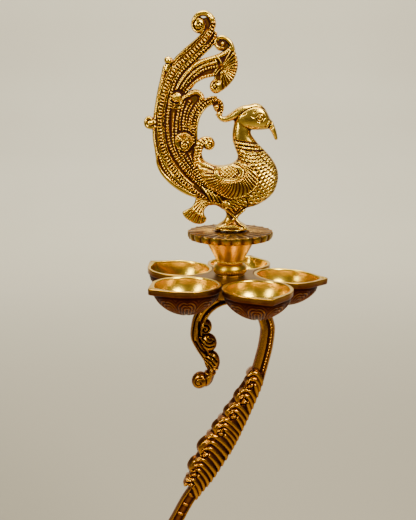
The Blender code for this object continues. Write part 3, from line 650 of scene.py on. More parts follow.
def wing(bird):
    """A raised fan: feathers that swirl out of a hatched medallion."""
    edge = [(-22, 72), (-13, 71), (-5, 68), (3, 68.6), (6, 68), (9.4, 67.2), (12.2, 65.8),
            (14.4, 63.6), (15.9, 61), (16.3, 58.4), (15.9, 55.8), (14.6, 53.4), (12.4, 51.2),
            (10, 49.4), (7, 47.8), (3.4, 46.9), (-0.6, 46.6), (-4.4, 47.6), (-8.6, 50),
            (-13.8, 54), (-17.8, 59), (-20.6, 65)]
    area, x, z, depth = bird.depth(edge)
    here = bird.square[area]
    top = np.sqrt(np.maximum(here, 0))
    smooth_top = blurred(top, round(1.2 / bird.grid))
    dx, dz = x + 1.2, z - 62.4
    rho, turn = np.hypot(dx / 8.2, dz / 4.7), np.degrees(np.arctan2(dz, dx))
    flat = 0.65 * step(1.25, 0.75, rho)
    smooth_top = smooth_top + flat * (smooth_top[rho < 0.3].mean() - smooth_top)
    front = step(140, 100, turn)
    swirl = 17 * (rho - 1) * (0.3 + 0.7 * step(-170, -90, turn) * front)
    swirl = swirl + 34 * (1 - np.exp(-np.maximum(rho - 1, 0) / 0.4)) * step(-50, 0, turn) * front
    feather = wave(turn + swirl, 10.5, 0.75)
    fine = wave(turn + swirl + 5, 5.25, 1.0)
    outside = step(1.06, 1.2, rho)
    relief = 0.45 + (0.92 * feather + 0.18 * fine) * outside * step(0.1, 0.9, depth)
    ring = step(0.70, 0.80, rho) * step(1.10, 1.02, rho)
    relief = relief + (0.8 - 0.25 * np.exp(-((rho - 0.9) / 0.05) ** 2)) * ring
    hatch = np.minimum(wave(x + 1.2 * z, 2.3, 0.5), wave(x - 1.2 * z, 2.3, 0.5))
    pad = 0.7 * hatch - 0.1
    relief = relief + pad * step(0.70, 0.64, rho)
    relief = relief + 0.35 * step(0.0, 0.25, depth) * step(1.1, 0.8, depth)
    raised = step(0.0, 0.7, depth)
    new_top = top * (1 - raised) + (smooth_top + relief) * raised
    fade = step(0.6, 2.6, top)
    bird.square[area] = np.where((here > 0) & (depth > 0),
                                 (top + (new_top - top) * fade) ** 2, here)


def head(bird):
    """Polished head with its crest, engraved eye and cheek, and the banded beak."""
    skull = [(4.6, 96.6), (6.5, 98.4), (10, 100.2), (13.5, 101.5), (16.6, 101), (19.2, 99),
             (21.2, 96), (22.6, 92.9), (23.6, 91.8), (24.4, 90), (23.4, 87.8), (21.6, 86.8),
             (17, 86.3), (12.4, 86.3), (9.4, 86.6), (4, 88), (2.4, 92)]
    area, x, z, depth = bird.depth(skull, 0.6)
    ball = np.clip(1 - ((x - 13.4) / 12.6) ** 2 - ((z - 93.4) / 9.4) ** 2, 0.05, 1)
    edge = np.clip(depth / 2.2, 0, 1)
    dome = 6.3 ** 2 * ball * edge * (2 - edge)
    bird.join(area, np.where(depth > 0, dome, depth * 6), 4)
    bird.stroke([(14.6, 98.4), (9.6, 97.6), (4.6, 95.9), (0.2, 93.7), (-3, 92.4), (-5.4, 92.8),
                 (-6.6, 94.4), (-6.9, 96)], (2.6, 2.8, 3.3, 3.1, 2.4, 1.9, 1.5, 1.4),
                shaped_rib(lambda share: 4.9 - 2.3 * share, 0.9), soft=5)
    bird.stroke([(-8.3, 95), (-5.4, 95.6)], 0.7, round_rib(2.9))
    bird.stroke([(22.4, 89.8), (24.3, 86.8), (25.5, 84), (26.3, 81.5)], (2.3, 1.75, 1.35, 1.0),
                shaped_rib(lambda share: 3.7 - 2.4 * share, 0.9))
    for line in ([(23.1, 92.1), (21.9, 90.3), (20.4, 87.6)], [(24.4, 90.2), (22.7, 87.6)]):
        for shift in (0.95, -0.95):
            bird.carve(offset_path(line, shift), 0.55, 0.6)
    bird.carve([(20.2, 97.2), (17.4, 99), (13.4, 99.4), (9.6, 98.3), (6.6, 96.6), (4.8, 95)],
               0.5, 0.75)
    bird.carve([(8.3, 95.7), (6.6, 95.1)], 0.45, 0.5)
    bird.carve([(9.6, 88.9), (12, 87.8), (14.6, 87.7), (17.4, 88.4), (20, 88.2)], 0.42, 0.4)
    for reach, deep in ((2.5, 0.5), (1.2, 0.55)):
        bird.carve(spiral((16.6, 93.3), (reach, reach * 0.88), (0, 372)), 0.42, deep)
    for tick in ([(11.9, 94.3), (13.2, 93.3)], [(19.8, 93.2), (21.2, 92.4)],
                 [(13, 96.4), (14.3, 97.4)]):
        bird.carve(tick, 0.38, 0.4, spacing=0.4)


def legs(bird):
    """The thighs close to one solid leg with crossed straps, on a spreading foot."""
    column = [(-3.6, 47), (10, 47), (9.4, 42.4), (7.9, 39.9), (5.9, 37.6), (4.8, 35),
              (4.7, 33), (6.8, 31.5), (9.7, 30), (10.4, 28.5), (10.2, 27.45), (-8.1, 27.45),
              (-8.8, 28.4), (-8.7, 29.8), (-7.4, 31.1), (-4.8, 32.8), (-3, 34.8), (-2.5, 36.8),
              (-3, 38.6), (-4.6, 40.2), (-5.6, 44)]

    def thick(x, z, depth):
        """Round legs, thickest at the thigh and at the foot."""
        leg = np.interp(z, [27, 29.6, 31.6, 34.8, 37.6, 41, 46], [6.6, 6.0, 4.0, 2.7, 2.9, 5, 7])
        inward = np.clip(depth / (0.5 * leg + 1.0), 0, 1)
        return leg * np.sqrt(1 - 0.8 * (1 - inward) ** 2)

    bird.plate(column, thick, edge=0.6, soft=1)

    def strap_height(share):
        return np.interp(share, [0, 0.3, 0.5, 0.75, 1], [5.8, 4.0, 3.8, 4.6, 6.4])

    def foot_height(share):
        return 7.3 * np.sqrt(np.clip(1 - (2 * share - 1) ** 2 * 0.9, 0.05, 1))

    for strap in ([(-3.2, 40.6), (-0.2, 38.1), (2.8, 35.2), (4.9, 32.4), (8.6, 30)],
                  [(8.4, 40.4), (5.6, 37.9), (2.8, 35.2), (0, 32.8), (-6.8, 30)]):
        bird.stroke(strap, (0.9, 1.0, 1.0, 0.9, 0.8), shaped_rib(strap_height, 0.3), edge=0.4)
    bird.stroke([(-8, 28.4), (1, 28.2), (9.8, 28.4)], 0.9, shaped_rib(foot_height, 0.3))
    for notch in ([(1.2, 40.4), (3, 38.6), (4.8, 40.4)], [(9.2, 47.6), (9.9, 44.4), (10, 41.8)],
                  [(-3.2, 46.6), (-4, 43.6), (-3.6, 41)]):
        bird.carve(notch, 0.55, 0.8)


def body_relief():
    """The bird: round breast and neck, polished head, engraved wing, legs and foot."""
    bird = Relief((-23, 26.5), (30, 104), PEACOCK_GRID)
    trunk = [(-10.6, 66.5), (-5.6, 65.9), (-1, 66.6), (2.8, 68.6), (4, 70.8), (3.4, 73.6),
             (2, 77), (1.1, 80), (0.9, 84), (1.5, 88.6), (3, 93), (8, 93), (11, 90),
             (11.7, 86.4), (11.8, 84.2), (13.2, 82), (15.6, 78.9), (18.6, 75.9), (20.9, 73.6),
             (23.6, 70.4), (26, 66.8), (27.7, 62.4), (28, 58.4), (27.3, 54.4), (25.4, 50),
             (22.2, 46.6), (18.6, 44), (14.6, 42.1), (9.8, 40.8), (3, 39.8), (-2.8, 41.6),
             (-5, 46.2), (-8.6, 49.4), (-13.8, 53.6), (-17.6, 58.6), (-19.8, 64.4),
             (-20.2, 68.6), (-17.6, 70.4), (-14.2, 68.2)]

    def trunk_height(x, z, depth):
        """Rounded from the outline inwards, thinner up the neck and towards the tail."""
        neck = step(68, 80, z)
        reach = 12.5 * (1 - neck) + 5.8 * neck
        thick = 9.2 * (1 - neck) + 5.0 * neck
        thick = thick * (1 - 0.45 * step(2, -18, x) * (1 - neck))
        inward = np.clip(depth / reach, 0, 1)
        return thick * np.sqrt(1 - (1 - inward) ** 2)

    area, x, z, depth = bird.depth(trunk, 0.6)
    inner = blurred(depth, round(1.6 / bird.grid))
    depth = depth + (inner - depth) * step(1.5, 4.5, depth)
    top = trunk_height(x, z, np.maximum(depth, 0))
    bird.join(area, np.where(depth > 0, top ** 2, depth * 6))
    legs(bird)
    head(bird)
    breast_scales(bird)
    wing(bird)
    neck_collar(bird)
    return bird


def neck_collar(bird):
    """The double beaded collar round the neck, with a groove on each side of it."""
    for line in ([(1.2, 79.6), (4, 79), (9, 78.3), (13, 77.9), (17.3, 76.9)],
                 [(2.6, 77.6), (5, 77), (9, 76.3), (13, 76), (19, 75.7)]):
        path = smooth_path(line, 0.5)
        area, best, run, _, _ = bird.along(path, 0.85)
        round_top = np.sqrt(np.clip(1 - (best / 0.85) ** 2, 0, 1))
        bird.lift(area, (0.85 + 0.25 * wave(run, 1.5, 0.8)) * round_top)
    for line in ([(0.8, 81.1), (5, 80.1), (10, 79.4), (15.4, 78.3)],
                 [(2.2, 76.7), (6, 75.8), (10, 75.1), (14, 74.8), (19.6, 74.6)],
                 [(1.2, 78.9), (5, 78), (9, 77.3), (13, 77), (18, 76.3)]):
        bird.carve(line, 0.6, 0.55)


# ---- crook stem --------------------------------------------------------------------------
STEM_FOOT, SEAT_TOP = heights_from_rims("stem_crook")
SEAT_RADIUS = 8.5
SHEATH_LOW, SHEATH_HIGH = -138, -64     # heights where the leaf sheath starts and ends
STEM_PATH = [
    (0, STEM_FOOT), (0, STEM_FOOT + 3), (0, STEM_FOOT + 7), (-4, STEM_FOOT + 16),
    (-16, STEM_FOOT + 32), (-31, STEM_FOOT + 49), (-41, STEM_FOOT + 67),
    (-43, STEM_FOOT + 87), (-38.5, STEM_FOOT + 105), (-32, -159), (-24.6, -145),
    (-14.6, -131.6), (-7.2, -120), (-0.4, -108), (6, -94), (11.6, -80.5), (16.2, -68),
    (19.4, -56), (22, -45), (23.2, -35)]


class Frame2D:
    """Places in run and offset along a curve, for laying leaves on a stem."""

    def __init__(self, points):
        self.path = smooth_path(points, 0.5)
        gaps = np.linalg.norm(np.diff(self.path, axis=0), axis=1)
        self.run = np.concatenate([[0], np.cumsum(gaps)])
        slope = np.gradient(self.path, axis=0)
        slope /= np.linalg.norm(slope, axis=1)[:, None]
        self.left = np.stack([-slope[:, 1], slope[:, 0]], axis=1)

    def at(self, run, offset):
        """The point at a run along the curve and an offset to its left."""
        spot = [np.interp(run, self.run, self.path[:, k])
                + offset * np.interp(run, self.run, self.left[:, k]) for k in (0, 1)]
        return tuple(spot)

    def run_at_height(self, z):
        """The run at which a rising curve reaches a height."""
        return np.interp(z, self.path[:, 1], self.run)

    def along_at(self, point):
        """The run and the offset of a point."""
        away = np.array(point) - self.path
        k = int(np.argmin(np.hypot(*away.T)))
        return self.run[k], float(away[k] @ self.left[k])


# half thickness across the limb, from its right edge at -1 to its left edge at 1
LIMB_SECTION = ([-1, -.9, -.76, -.62, -.5, -.38, -.26, -.12, .02, .3, .6, .86, 1],
                [2.2, 3.1, 3.4, 2.6, 3.1, 3.1, 2.4, 2.3, 3.5, 3.95, 3.9, 3.3, 2.2])
HOOK_SECTION = ([-1, -.88, -.72, -.6, -.44, -.15, .12, .26, .42, .65, .9, 1],
                [2.2, 3.0, 3.1, 2.1, 3.3, 3.95, 3.5, 2.2, 2.6, 3.5, 3.1, 2.4])
PANEL_SECTION = ([-1, -.9, -.75, -.6, -.5, 0, .5, .6, .75, .9, 1],
                 [2.4, 3.3, 3.6, 3.2, 2.3, 2.5, 2.3, 3.2, 3.6, 3.3, 2.4])


def stem_limb(stem, up):
    """The panelled foot, the limb with its beaded groove, and the arch over to the tendril."""
    arch = [tuple(p) for p in spiral((1.8, -35), (21.4, 21.4), (12, 170), 12)]
    tendril = [(-20, -38.4), (-17.6, -44.4), (-14.2, -50.6), (-11.4, -56.4), (-11, -61)]
    line = Frame2D(STEM_PATH + arch + tendril)
    low, high = up.run_at_height(SHEATH_LOW), up.run_at_height(SHEATH_HIGH)
    total = line.run[-1]
    arch_end = total - 36
    area, best, run, offset, _ = stem.along(line.path, 7.0)
    widths = np.interp(run, [0, 14, 60, low, high, high + 20, arch_end, total - 17, total - 6,
                             total],
                       [5.6, 4.6, 4.5, 4.4, 4.8, 4.7, 4.4, 3.7, 3.0, 2.7])
    across = np.clip(offset / widths, -1, 1)
    limb = np.interp(across, *LIMB_SECTION)
    row = (wave(run, 1.9, 0.8) - 0.5) * 0.8 * step(0.15, 0.06, np.abs(across + 0.44))
    limb = limb + row * (step(high + 40, high + 30, run) * step(high + 2, high + 6, run))
    hook = np.interp(across, *HOOK_SECTION)
    panel = np.interp(across, *PANEL_SECTION)
    bars = 0.5 * step(0.86, 0.96, wave(run - low, 7.3)) * step(0.5, 0.42, np.abs(across))
    body = panel + bars + (limb - panel - bars) * step(low - 1, low + 6, run)
    body = body + (hook - body) * step(arch_end - 40, arch_end - 18, run)
    body = body * np.interp(run, [0, 10, 24, total - 16, total], [1.45, 1.2, 1.0, 0.98, 0.9])
    stem.join(area, np.minimum(body ** 2, body ** 2 * (widths - best) / 1.0))


# each leaf's outer edge, from its foot to its top
SHEATH_LEAVES = [((-24.6, -138), (-27.4, -135), (-27.9, -132), (-25.4, -129)),
                 ((-25.4, -129), (-26.6, -124), (-24.2, -119), (-19.8, -115.6)),
                 ((-20.3, -115.4), (-20.6, -110), (-17, -105), (-10.8, -101.2)),
                 ((-11.2, -101), (-11.3, -96.8), (-8.4, -93), (-3.6, -90.2)),
                 ((-4, -90), (-4, -86.3), (-1.6, -83), (2.6, -80.4)),
                 ((2, -80.2), (2.5, -76), (4.9, -72.4), (9, -70.2)),
                 ((8.3, -70), (9, -66), (11.2, -62.8), (14.6, -60))]
SHEATH_COMBS = (2, 4, 4, 4, 3, 3, 3)
SHEATH_CORE = [(-21.6, -137), (-17.6, -127), (-10.4, -114), (-3, -101), (3.6, -88), (9.4, -76),
               (14, -66), (16.4, -60)]


def sheath_leaf(stem, up, edge, combs, small):
    """A leaf: its swell on the left, combs down over the limb, and a curl at its foot."""
    radius, curl_radius = (2.5, 1.7) if small else (3.7, 2.7)
    stem.stroke(offset_path(edge, -radius), (0.8 * radius, radius, radius, 0.7 * radius),
                round_rib(5.0), edge=1.6)
    (foot, _), (_, low_reach), (_, high_reach), (top, _) = (up.along_at(p) for p in edge)
    reach = max(low_reach, high_reach)
    inner = reach - (4.6 if small else 6.4)
    for n in range(combs):
        run = top - 1.4 - (top - foot) * n / combs
        out = inner + 0.9 - 0.9 * n
        tall = 6.0 - 0.15 * n
        comb = [up.at(run - 1.6, out + 2.4), up.at(run + 0.6, out + 0.4),
                up.at(run + 0.9, out - 2.0), up.at(run - 0.6, 0.5 * (out - 4.4)),
                up.at(run - 3.4, -2.6), up.at(run - 5.6, -3.9)]
        stem.stroke(comb, (1.3, 2.1, 2.3, 2.3, 2.1, 1.1),
                    shaped_rib(lambda share, tall=tall: tall - 1.9 * share ** 2, 0.82),
                    edge=0.4, spacing=0.5)
    curl = up.at(foot + 2.6, reach - 4.0) if small else up.at(foot + 3.4, reach - 6.6)
    stem.boss(curl, curl_radius, 6.1)
    stem.carve(spiral(curl, (3.3, 0.7), (110, -330)), 0.55, 0.9)


def stem_sheath(stem, up):
    """The leaves that wrap the limb, over a core that closes them; the end leaves are small."""
    stem.stroke(SHEATH_CORE, (4.2, 6.8, 8.6, 8.0, 6.8, 5.8, 4.8, 3.2), round_rib(4.4), edge=1.6)
    for edge, combs in zip(SHEATH_LEAVES, SHEATH_COMBS):
        sheath_leaf(stem, up, edge, combs, edge in (SHEATH_LEAVES[0], SHEATH_LEAVES[-1]))


def stem_tendril(stem):
    """The tendril's solid scrolls, its ribbed leaf, and the curled end."""
    stem.boss((-14.7, -32.2), (4.0, 5.0), 4.1, soft=1)
    stem.boss((-14.8, -33.2), (1.7, 2.2), flat_top(0.1))
    stem.carve(spiral((-14.9, -33.4), (2.9, 0.5), (95, -290)), 0.7, 1.7)
    stem.carve([(-18.6, -28.5), (-18.7, -33), (-18.2, -37), (-16.4, -38.6)], 0.7, 1.6)
    stem.boss((-12.9, -42.4), (5.2, 6.0), 4.4, lean=12, soft=1)
    for groove, width, deep in (
            ([(-18.4, -40.2), (-15.6, -43), (-12.6, -44.4), (-9.6, -44)], 0.6, 1.7),
            ([(-16.6, -39), (-14.2, -41.4), (-11.4, -42), (-9.6, -40.8)], 0.55, 1.4),
            ([(-13.6, -38.4), (-12.2, -39.9), (-10.6, -39.7)], 0.45, 1.0),
            ([(-20.6, -41), (-18, -45.6), (-14.4, -48.6), (-9.6, -48.4)], 0.75, 1.8)):
        stem.carve(groove, width, deep)
    stem.boss((-10.7, -54.3), (4.9, 6.9), 4.3, lean=6, soft=1)
    for k, rib in enumerate((((-14.4, -49.8), (-10.6, -50.9), (-7.6, -54)),
                             ((-14.8, -51.4), (-11.4, -53.2), (-8.8, -56.4)),
                             ((-14.8, -53.4), (-12.2, -55.2), (-10.2, -58.2)),
                             ((-14.4, -55.4), (-12.8, -57.2), (-11.4, -60)))):
        stem.carve(rib, 0.55, 1.5 - 0.1 * k)
    stem.stroke([(-11.6, -58.6), (-9.4, -58.6), (-7.6, -59.2)], 1.0, round_rib(3.8))
    stem.stroke([(-11, -59.6), (-12, -63.4), (-14.6, -66.6), (-18, -67)],
                (2.6, 2.9, 4.2, 5.0), round_rib(4.6), edge=2.2)
    stem.stroke([(-14.4, -61.6), (-11.6, -62.6), (-9.2, -62)], 1.1, round_rib(3.7))
    stem.boss((-18.3, -66.8), (4.9, 5.6), 4.8, lean=-25, soft=2)
    stem.carve([(-15.6, -63.6), (-14.2, -65.6), (-14.4, -69)], 0.55, 0.8)
    stem.carve(spiral((-18.6, -67.4), (3.3, 0.8), (60, 400)), 0.5, 0.7)


def stem_ends(stem):
    """The round seat that the tray stands on, and the round foot on the collar."""
    area, xs, zs = stem.window((-10, -17), (10, SEAT_TOP))
    round_seat = np.minimum(SEAT_RADIUS ** 2 - xs ** 2, (zs + 15.6) * 24)
    stem.join(area, np.minimum(round_seat, (SEAT_TOP - zs) * 60))
    area, xs, zs = stem.window((-8, STEM_FOOT), (8, STEM_FOOT + 14))
    rings = 0.4 * wave(zs - STEM_FOOT, 3.6) + 7.4 - 2.6 * step(2, 13, zs - STEM_FOOT)
    stem.join(area, rings ** 2 - xs ** 2)
    stem.square = np.minimum(stem.square, (stem.z[None, :] - STEM_FOOT) * 60)


def crook_relief():
    """The cast crook: limb and arch, leaf sheath, tendril, seat and foot."""
    stem = Relief((-52, STEM_FOOT - 1), (32, -3), STEM_GRID)
    up = Frame2D(STEM_PATH)
    stem_limb(stem, up)
    stem_sheath(stem, up)
    stem_tendril(stem)
    stem_ends(stem)
    return stem


# ---- turned and polar pieces ---------------------------------------------------------------
def rounded_loop(points, radius=0.5, spacing=0.45, closed=True):
    """A profile with its corners rounded and its sides divided evenly."""
    points = np.asarray(points, float)
    count = len(points)
    out = []
    for k in range(count):
        here = points[k]
        if not closed and k in (0, count - 1):
            out.append(here)
            continue
        before, after = points[k - 1], points[(k + 1) % count]
        a, b = before - here, after - here
        la, lb = np.linalg.norm(a), np.linalg.norm(b)
        r = min(radius, 0.45 * la, 0.45 * lb)
        start, end = here + a / la * r, here + b / lb * r
        for t in (0, 0.25, 0.5, 0.75, 1):
            out.append((1 - t) ** 2 * start + 2 * t * (1 - t) * here + t * t * end)
    if closed:
        out.append(out[0])
    dense = [out[0]]
    for a, b in zip(out, out[1:]):
        pieces = max(1, int(np.linalg.norm(b - a) / spacing))
        dense += [a + (b - a) * n / pieces for n in range(1, pieces + 1)]
    return np.array(dense[:-1] if closed else dense)


def ring_faces(rows, columns, closed=True):
    """Quads of a grid of rows by columns that wraps round its columns, and its rows."""
    i = np.arange(rows if closed else rows - 1)[:, None]
    j = np.arange(columns)[None, :]
    i2, j2 = (i + 1) % rows, (j + 1) % columns
    quads = np.stack([i * columns + j, i * columns + j2, i2 * columns + j2, i2 * columns + j], -1)
    return quads.reshape(-1, 4)


def lathe(name, profile, count, bump=None, radius=0.5, spacing=0.45, low=0.0):
    """Turn a closed profile of (r, z), moved along its normals by bump(r, z, angle)."""
    loop = rounded_loop(profile, radius, spacing)
    slope = np.roll(loop, -1, axis=0) - np.roll(loop, 1, axis=0)
    slope /= np.linalg.norm(slope, axis=1)[:, None] + 1e-9
    normal = np.stack([slope[:, 1], -slope[:, 0]], axis=1)
    angle = np.arange(count) * 2 * pi / count
    r, z = loop[:, :1] + 0 * angle, loop[:, 1:] + 0 * angle
    push = bump(r, z, angle[None, :]) if bump else np.zeros_like(r)
    r2, z2 = r + normal[:, :1] * push, z + normal[:, 1:] * push
    verts = np.stack([r2 * np.cos(angle), r2 * np.sin(angle), z2 + low], -1).reshape(-1, 3)
    around = blurred(np.hstack([push[:, -9:], push, push[:, :9]]), 3)[:, 9:-9]
    recess = np.clip((around - push) / 0.25, -1, 1).ravel()
    recess = recess + crease(loop).repeat(count)
    return mesh_object(name, verts, ring_faces(len(loop), count), {"recess": recess})


def turned(rows, angle, low=0.0):
    """Points of rows of (r, z), one for each angle, about the axis."""
    r, z = np.array(rows)[..., 0], np.array(rows)[..., 1]
    return np.stack([r * np.cos(angle), r * np.sin(angle), z + low], -1).reshape(-1, 3)


def crease(loop):
    """How far a closed profile bends inwards at each point: 1 in a groove, below 0 on a crest."""
    before, after = np.roll(loop, 2, axis=0), np.roll(loop, -2, axis=0)
    middle = (before + after) / 2 - loop
    slope = after - before
    slope /= np.linalg.norm(slope, axis=1)[:, None] + 1e-9
    outward = np.stack([slope[:, 1], -slope[:, 0]], axis=1)
    bend = (middle * outward).sum(axis=1) / 0.25
    return np.clip(bend, -1, 1)


def beads(r, z, angle, radius, height, size, count, tall):
    """A row of beads round a turned piece at a radius and height."""
    near = np.hypot(r - radius, z - height) / size
    along = np.cos(count * angle)
    return tall * np.clip(1 - near ** 2, 0, 1) * (0.35 + 0.65 * along)


def petals(angle, rise, count, sharp=1.6):
    """Nested pointed petals: 0 to 1 over rise 0 to 1, with a raised outline and midrib."""
    across = np.abs(((angle * count / (2 * pi)) % 1) * 2 - 1)
    outline = np.clip(1 - rise, 0, 1) ** (1 / sharp)
    edge = outline - across
    rim = np.exp(-(edge / 0.12) ** 2)
    rib = np.exp(-(across / 0.09) ** 2) * step(0.95, 0.7, rise)
    return (0.55 * step(0.0, 0.2, edge) + 0.45 * rim + 0.25 * rib) * step(0, 0.08, rise)


def base_relief(r, z, angle):
    """Petals round the cone and on the skirt, and a row of beads under each."""
    push = 0.55 * petals(angle, (z - 19.5) / 13.5, 16) * step(19.5, 20.5, z) * step(44, 42, r)
    skirt = step(49, 50.5, r) * step(66, 64, r) * step(7, 9, z)
    push = push + 0.5 * petals(angle + pi / 28, (64.8 - r) / 15.2, 28, 1.3) * skirt
    push = push + beads(r, z, angle, 71.8, 2.6, 2.2, 96, 0.9)
    push = push + beads(r, z, angle, 45.0, 18.1, 1.3, 64, 0.6)
    faces = step(1.0, 2.0, z) * step(14.2, 15.2, r) + step(33, 34, z)
    return push * np.clip(faces, 0, 1)


def build_base():
    """The cast dome, hollow below, with its relief on the outside only."""
    outer = [(64.5, 0), (71, 0), (72, 1.5), (72, 3.5), (70.5, 5.5), (67, 6.3), (66, 9),
             (62.5, 12.5), (56, 15.5), (48, 17.2), (45, 18.2), (42.6, 18.5), (41.5, 20.6),
             (37.5, 25.5), (30, 29.5), (21, 32.5), (15.5, 34.4), (13.6, 36.6), (13.5, 40)]
    inner = [(FOOT_BORE, 40), (FOOT_BORE, 31.5), (10, 30.5), (20, 28), (29, 25.5),
             (35.5, 21.5), (38.5, 17), (41.5, 14.6), (47, 13.5), (55, 11.5), (60.5, 8.5), (63, 5)]
    middle_r, middle_z = [0, 13.5, 30, 41.5, 55, 64], [38, 34, 26.5, 16, 12, 3]

    def bump(r, z, angle):
        outside = step(1.0, 2.2, z - np.interp(r, middle_r, middle_z))
        return base_relief(r, z, angle) * outside

    return lathe("base_cast_dome", outer + inner, 768, bump, 0.7, 0.6)


def build_collar():
    """The turned collar between the dome and the crook: a fluted ball on a beaded flange."""
    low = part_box("stem_collar")[0].z / MM
    outer = [(12.5, 0), (13.2, 1.4), (10.4, 2.6), (12.4, 4.0), (13.8, 5.8), (12.4, 7.8),
             (9.5, 9.2), (10.2, 10.3), (9.0, 11.7)]
    profile = [(FOOT_BORE, low)] + [(r, low + z) for r, z in outer] + [(FOOT_BORE, low + 11.7)]

    def bump(r, z, angle):
        band = step(4.6, 5.4, z - low) * step(7.4, 6.6, z - low) * step(8, 9, r)
        flutes = 0.35 * np.cos(28 * angle + 1.2 * (z - low)) * band
        return flutes + beads(r, z, angle, 13.0, low + 1.2, 1.1, 44, 0.45)

    return lathe("stem_collar_turned", profile, 264, bump, 0.6, 0.4)


def build_pedestal():
    """The flared seat under the lotus disc, hollow above for the peacock's nut."""
    low, high = heights_from_rims("pedestal")
    outer = [(8.3, 0), (9.5, 0.8), (10.1, 2.1), (9.9, 3.6), (8.9, 5.2), (7.7, 6.1), (7.3, 6.5),
             (8.3, 6.7), (8.75, 7.3), (8.3, 7.9), (8.5, 8.3), (9.3, 9.9), (11.7, 14.2),
             (14.2, 18.7), (15.1, 19.9)]
    hollow = [(15.2, high), (13.0, high), (12.0, 20.4), (7.6, 15.0), (STUD_BORE, 15.0)]
    profile = [(STUD_BORE, low)] + [(r, low + z) for r, z in outer] + hollow

    def bump(r, z, angle):
        teeth = 0.34 * np.cos(40 * angle) * np.exp(-((z - low - 1.0) / 0.75) ** 2)
        ring = beads(r, z, angle, 8.75, low + 7.3, 0.8, 38, 0.35)
        return teeth * step(7, 8.6, r) + ring

    return lathe("finial_pedestal", profile, 320, bump, 0.45, 0.3, RIM_Z)


THREAD_PITCH = 1.25     # the finial's rise in one turn


def build_tray_stud():
    """The stud that holds the tray, with the right-hand thread the finial turns on."""
    low, high = heights_from_rims("tray_stud")
    radius = outer_radius("tray_stud")
    profile = [(0.2, low), (radius - 0.5, low), (radius, low + 0.5), (radius, high - 0.5),
               (radius - 0.5, high), (0.2, high)]

    def bump(r, z, angle):
        thread = wave(z / THREAD_PITCH - angle / (2 * pi), 1.0, 0.8)
        return -0.36 * (1 - thread) * step(radius - 0.5, radius - 0.1, r)

    return lathe("tray_stud_threaded", profile, 96, bump, 0.15, 0.13, RIM_Z)


DISC_LOBES = 24
DISC_BORE = 3.0
DISC_COLUMNS = 576


def disc_petals(r, rim, angle):
    """Height of the disc's top: long petals with midribs round a fluted centre."""
    out = (r - 9.5) / (rim - 10.8)
    across = np.abs(((angle * DISC_LOBES / (2 * pi)) % 1) * 2 - 1)
    width = np.clip(1.02 - 0.15 * out, 0, 1) * np.sqrt(np.clip(1.16 - out, 0, 1))
    petal = 0.34 * step(-0.03, 0.22, width - across) * step(-0.02, 0.05, out)
    rib = 0.2 * np.exp(-(across / 0.13) ** 2) * step(0, 0.1, out) * step(0.98, 0.8, out)
    centre = 0.3 * (0.5 + 0.5 * np.cos(48 * angle)) * step(0.02, -0.12, out)
    return petal + rib + centre * step(5.5, 6.5, r) - 0.46


def build_disc():
    """The lotus disc: a scalloped rim of shallow facets, and long petals on its top."""
    low, high = heights_from_rims("lotus_disc")
    outer = outer_radius("lotus_disc")
    angle = np.arange(DISC_COLUMNS) * 2 * pi / DISC_COLUMNS
    lobe = np.abs(np.sin(angle * DISC_LOBES / 2))
    rim = outer - 0.85 * (1 - lobe ** 0.8)
    rows, recess = [], []
    for share in (*np.linspace(DISC_BORE / outer, 0.975, 84), 0.99, 0.998):
        r = share * rim
        top = disc_petals(r, rim, angle) + 0.3 * step(0.965, 0.99, share)
        rows.append(np.stack([r, high + top - 0.35 * step(0.99, 1.0, share)], 1))
        recess.append(np.clip(0.3 - top, -0.2, 0.8))
    for k, z in enumerate((high - 0.6, high - 1.4, high - 2.4, high - 3.4, low + 0.8,
                           low + 0.3)):
        tuck = 0.9 * step(high - 2.0, low, z)
        rows.append(np.stack([rim - tuck, np.full(DISC_COLUMNS, z)], 1))
        recess.append(0.55 * (1 - lobe) + 0.05 * k)
    for share in (0.93, 0.8, 0.66, 0.62, 0.4, DISC_BORE / outer):
        rows.append(np.stack([share * rim, np.full(DISC_COLUMNS, low)], 1))
        recess.append(np.full(DISC_COLUMNS, 0.4))
    faces = ring_faces(len(rows), DISC_COLUMNS)[:, ::-1]
    return mesh_object("finial_lotus_disc", turned(rows, angle, RIM_Z), faces,
                       {"recess": np.array(recess).ravel()})


# ---- oil cups -------------------------------------------------------------------------------
CUP_COUNT = 5
CUP_CIRCLE_RADIUS = 35.0        # from the lamp's axis to a cup's centre
CUP_FIRST_AZIMUTH = 7.0         # degrees
CUP_LIP_TWIST = -10.0           # degrees between a cup's lip and the line out from the axis
CUP_LEAN = (3.5, 0.0, -2.2, -1.0, 0.8)      # degrees, each cup its own
CUP_OUTER, CUP_INNER, CUP_UNDER = 20.2, 18.5, 19.1      # radii: band, mouth, bowl
CUP_BAND, CUP_DEPTH = 3.6, 17.8
LIP_LENGTH = 25.6
LIP_SOFTNESS = 0.035            # radians over which the lip's point is rounded
ARCH_COUNT, ARCH_TURN = 9, -20.0


def cup_frame(index):
    """Where a cup sits: its rim centre out from the axis, leaning about its inner edge."""
    inner_edge = CUP_CIRCLE_RADIUS - CUP_OUTER
    turn = radians(CUP_FIRST_AZIMUTH + 360 / CUP_COUNT * index)
    return (Matrix.Rotation(turn, 4, "Z") @ Matrix.Translation((inner_edge * MM, 0, RIM_Z * MM))
            @ Matrix.Rotation(radians(CUP_LEAN[index]), 4, "Y")
            @ Matrix.Translation((CUP_OUTER * MM, 0, 0))
            @ Matrix.Rotation(radians(CUP_LIP_TWIST), 4, "Z"))


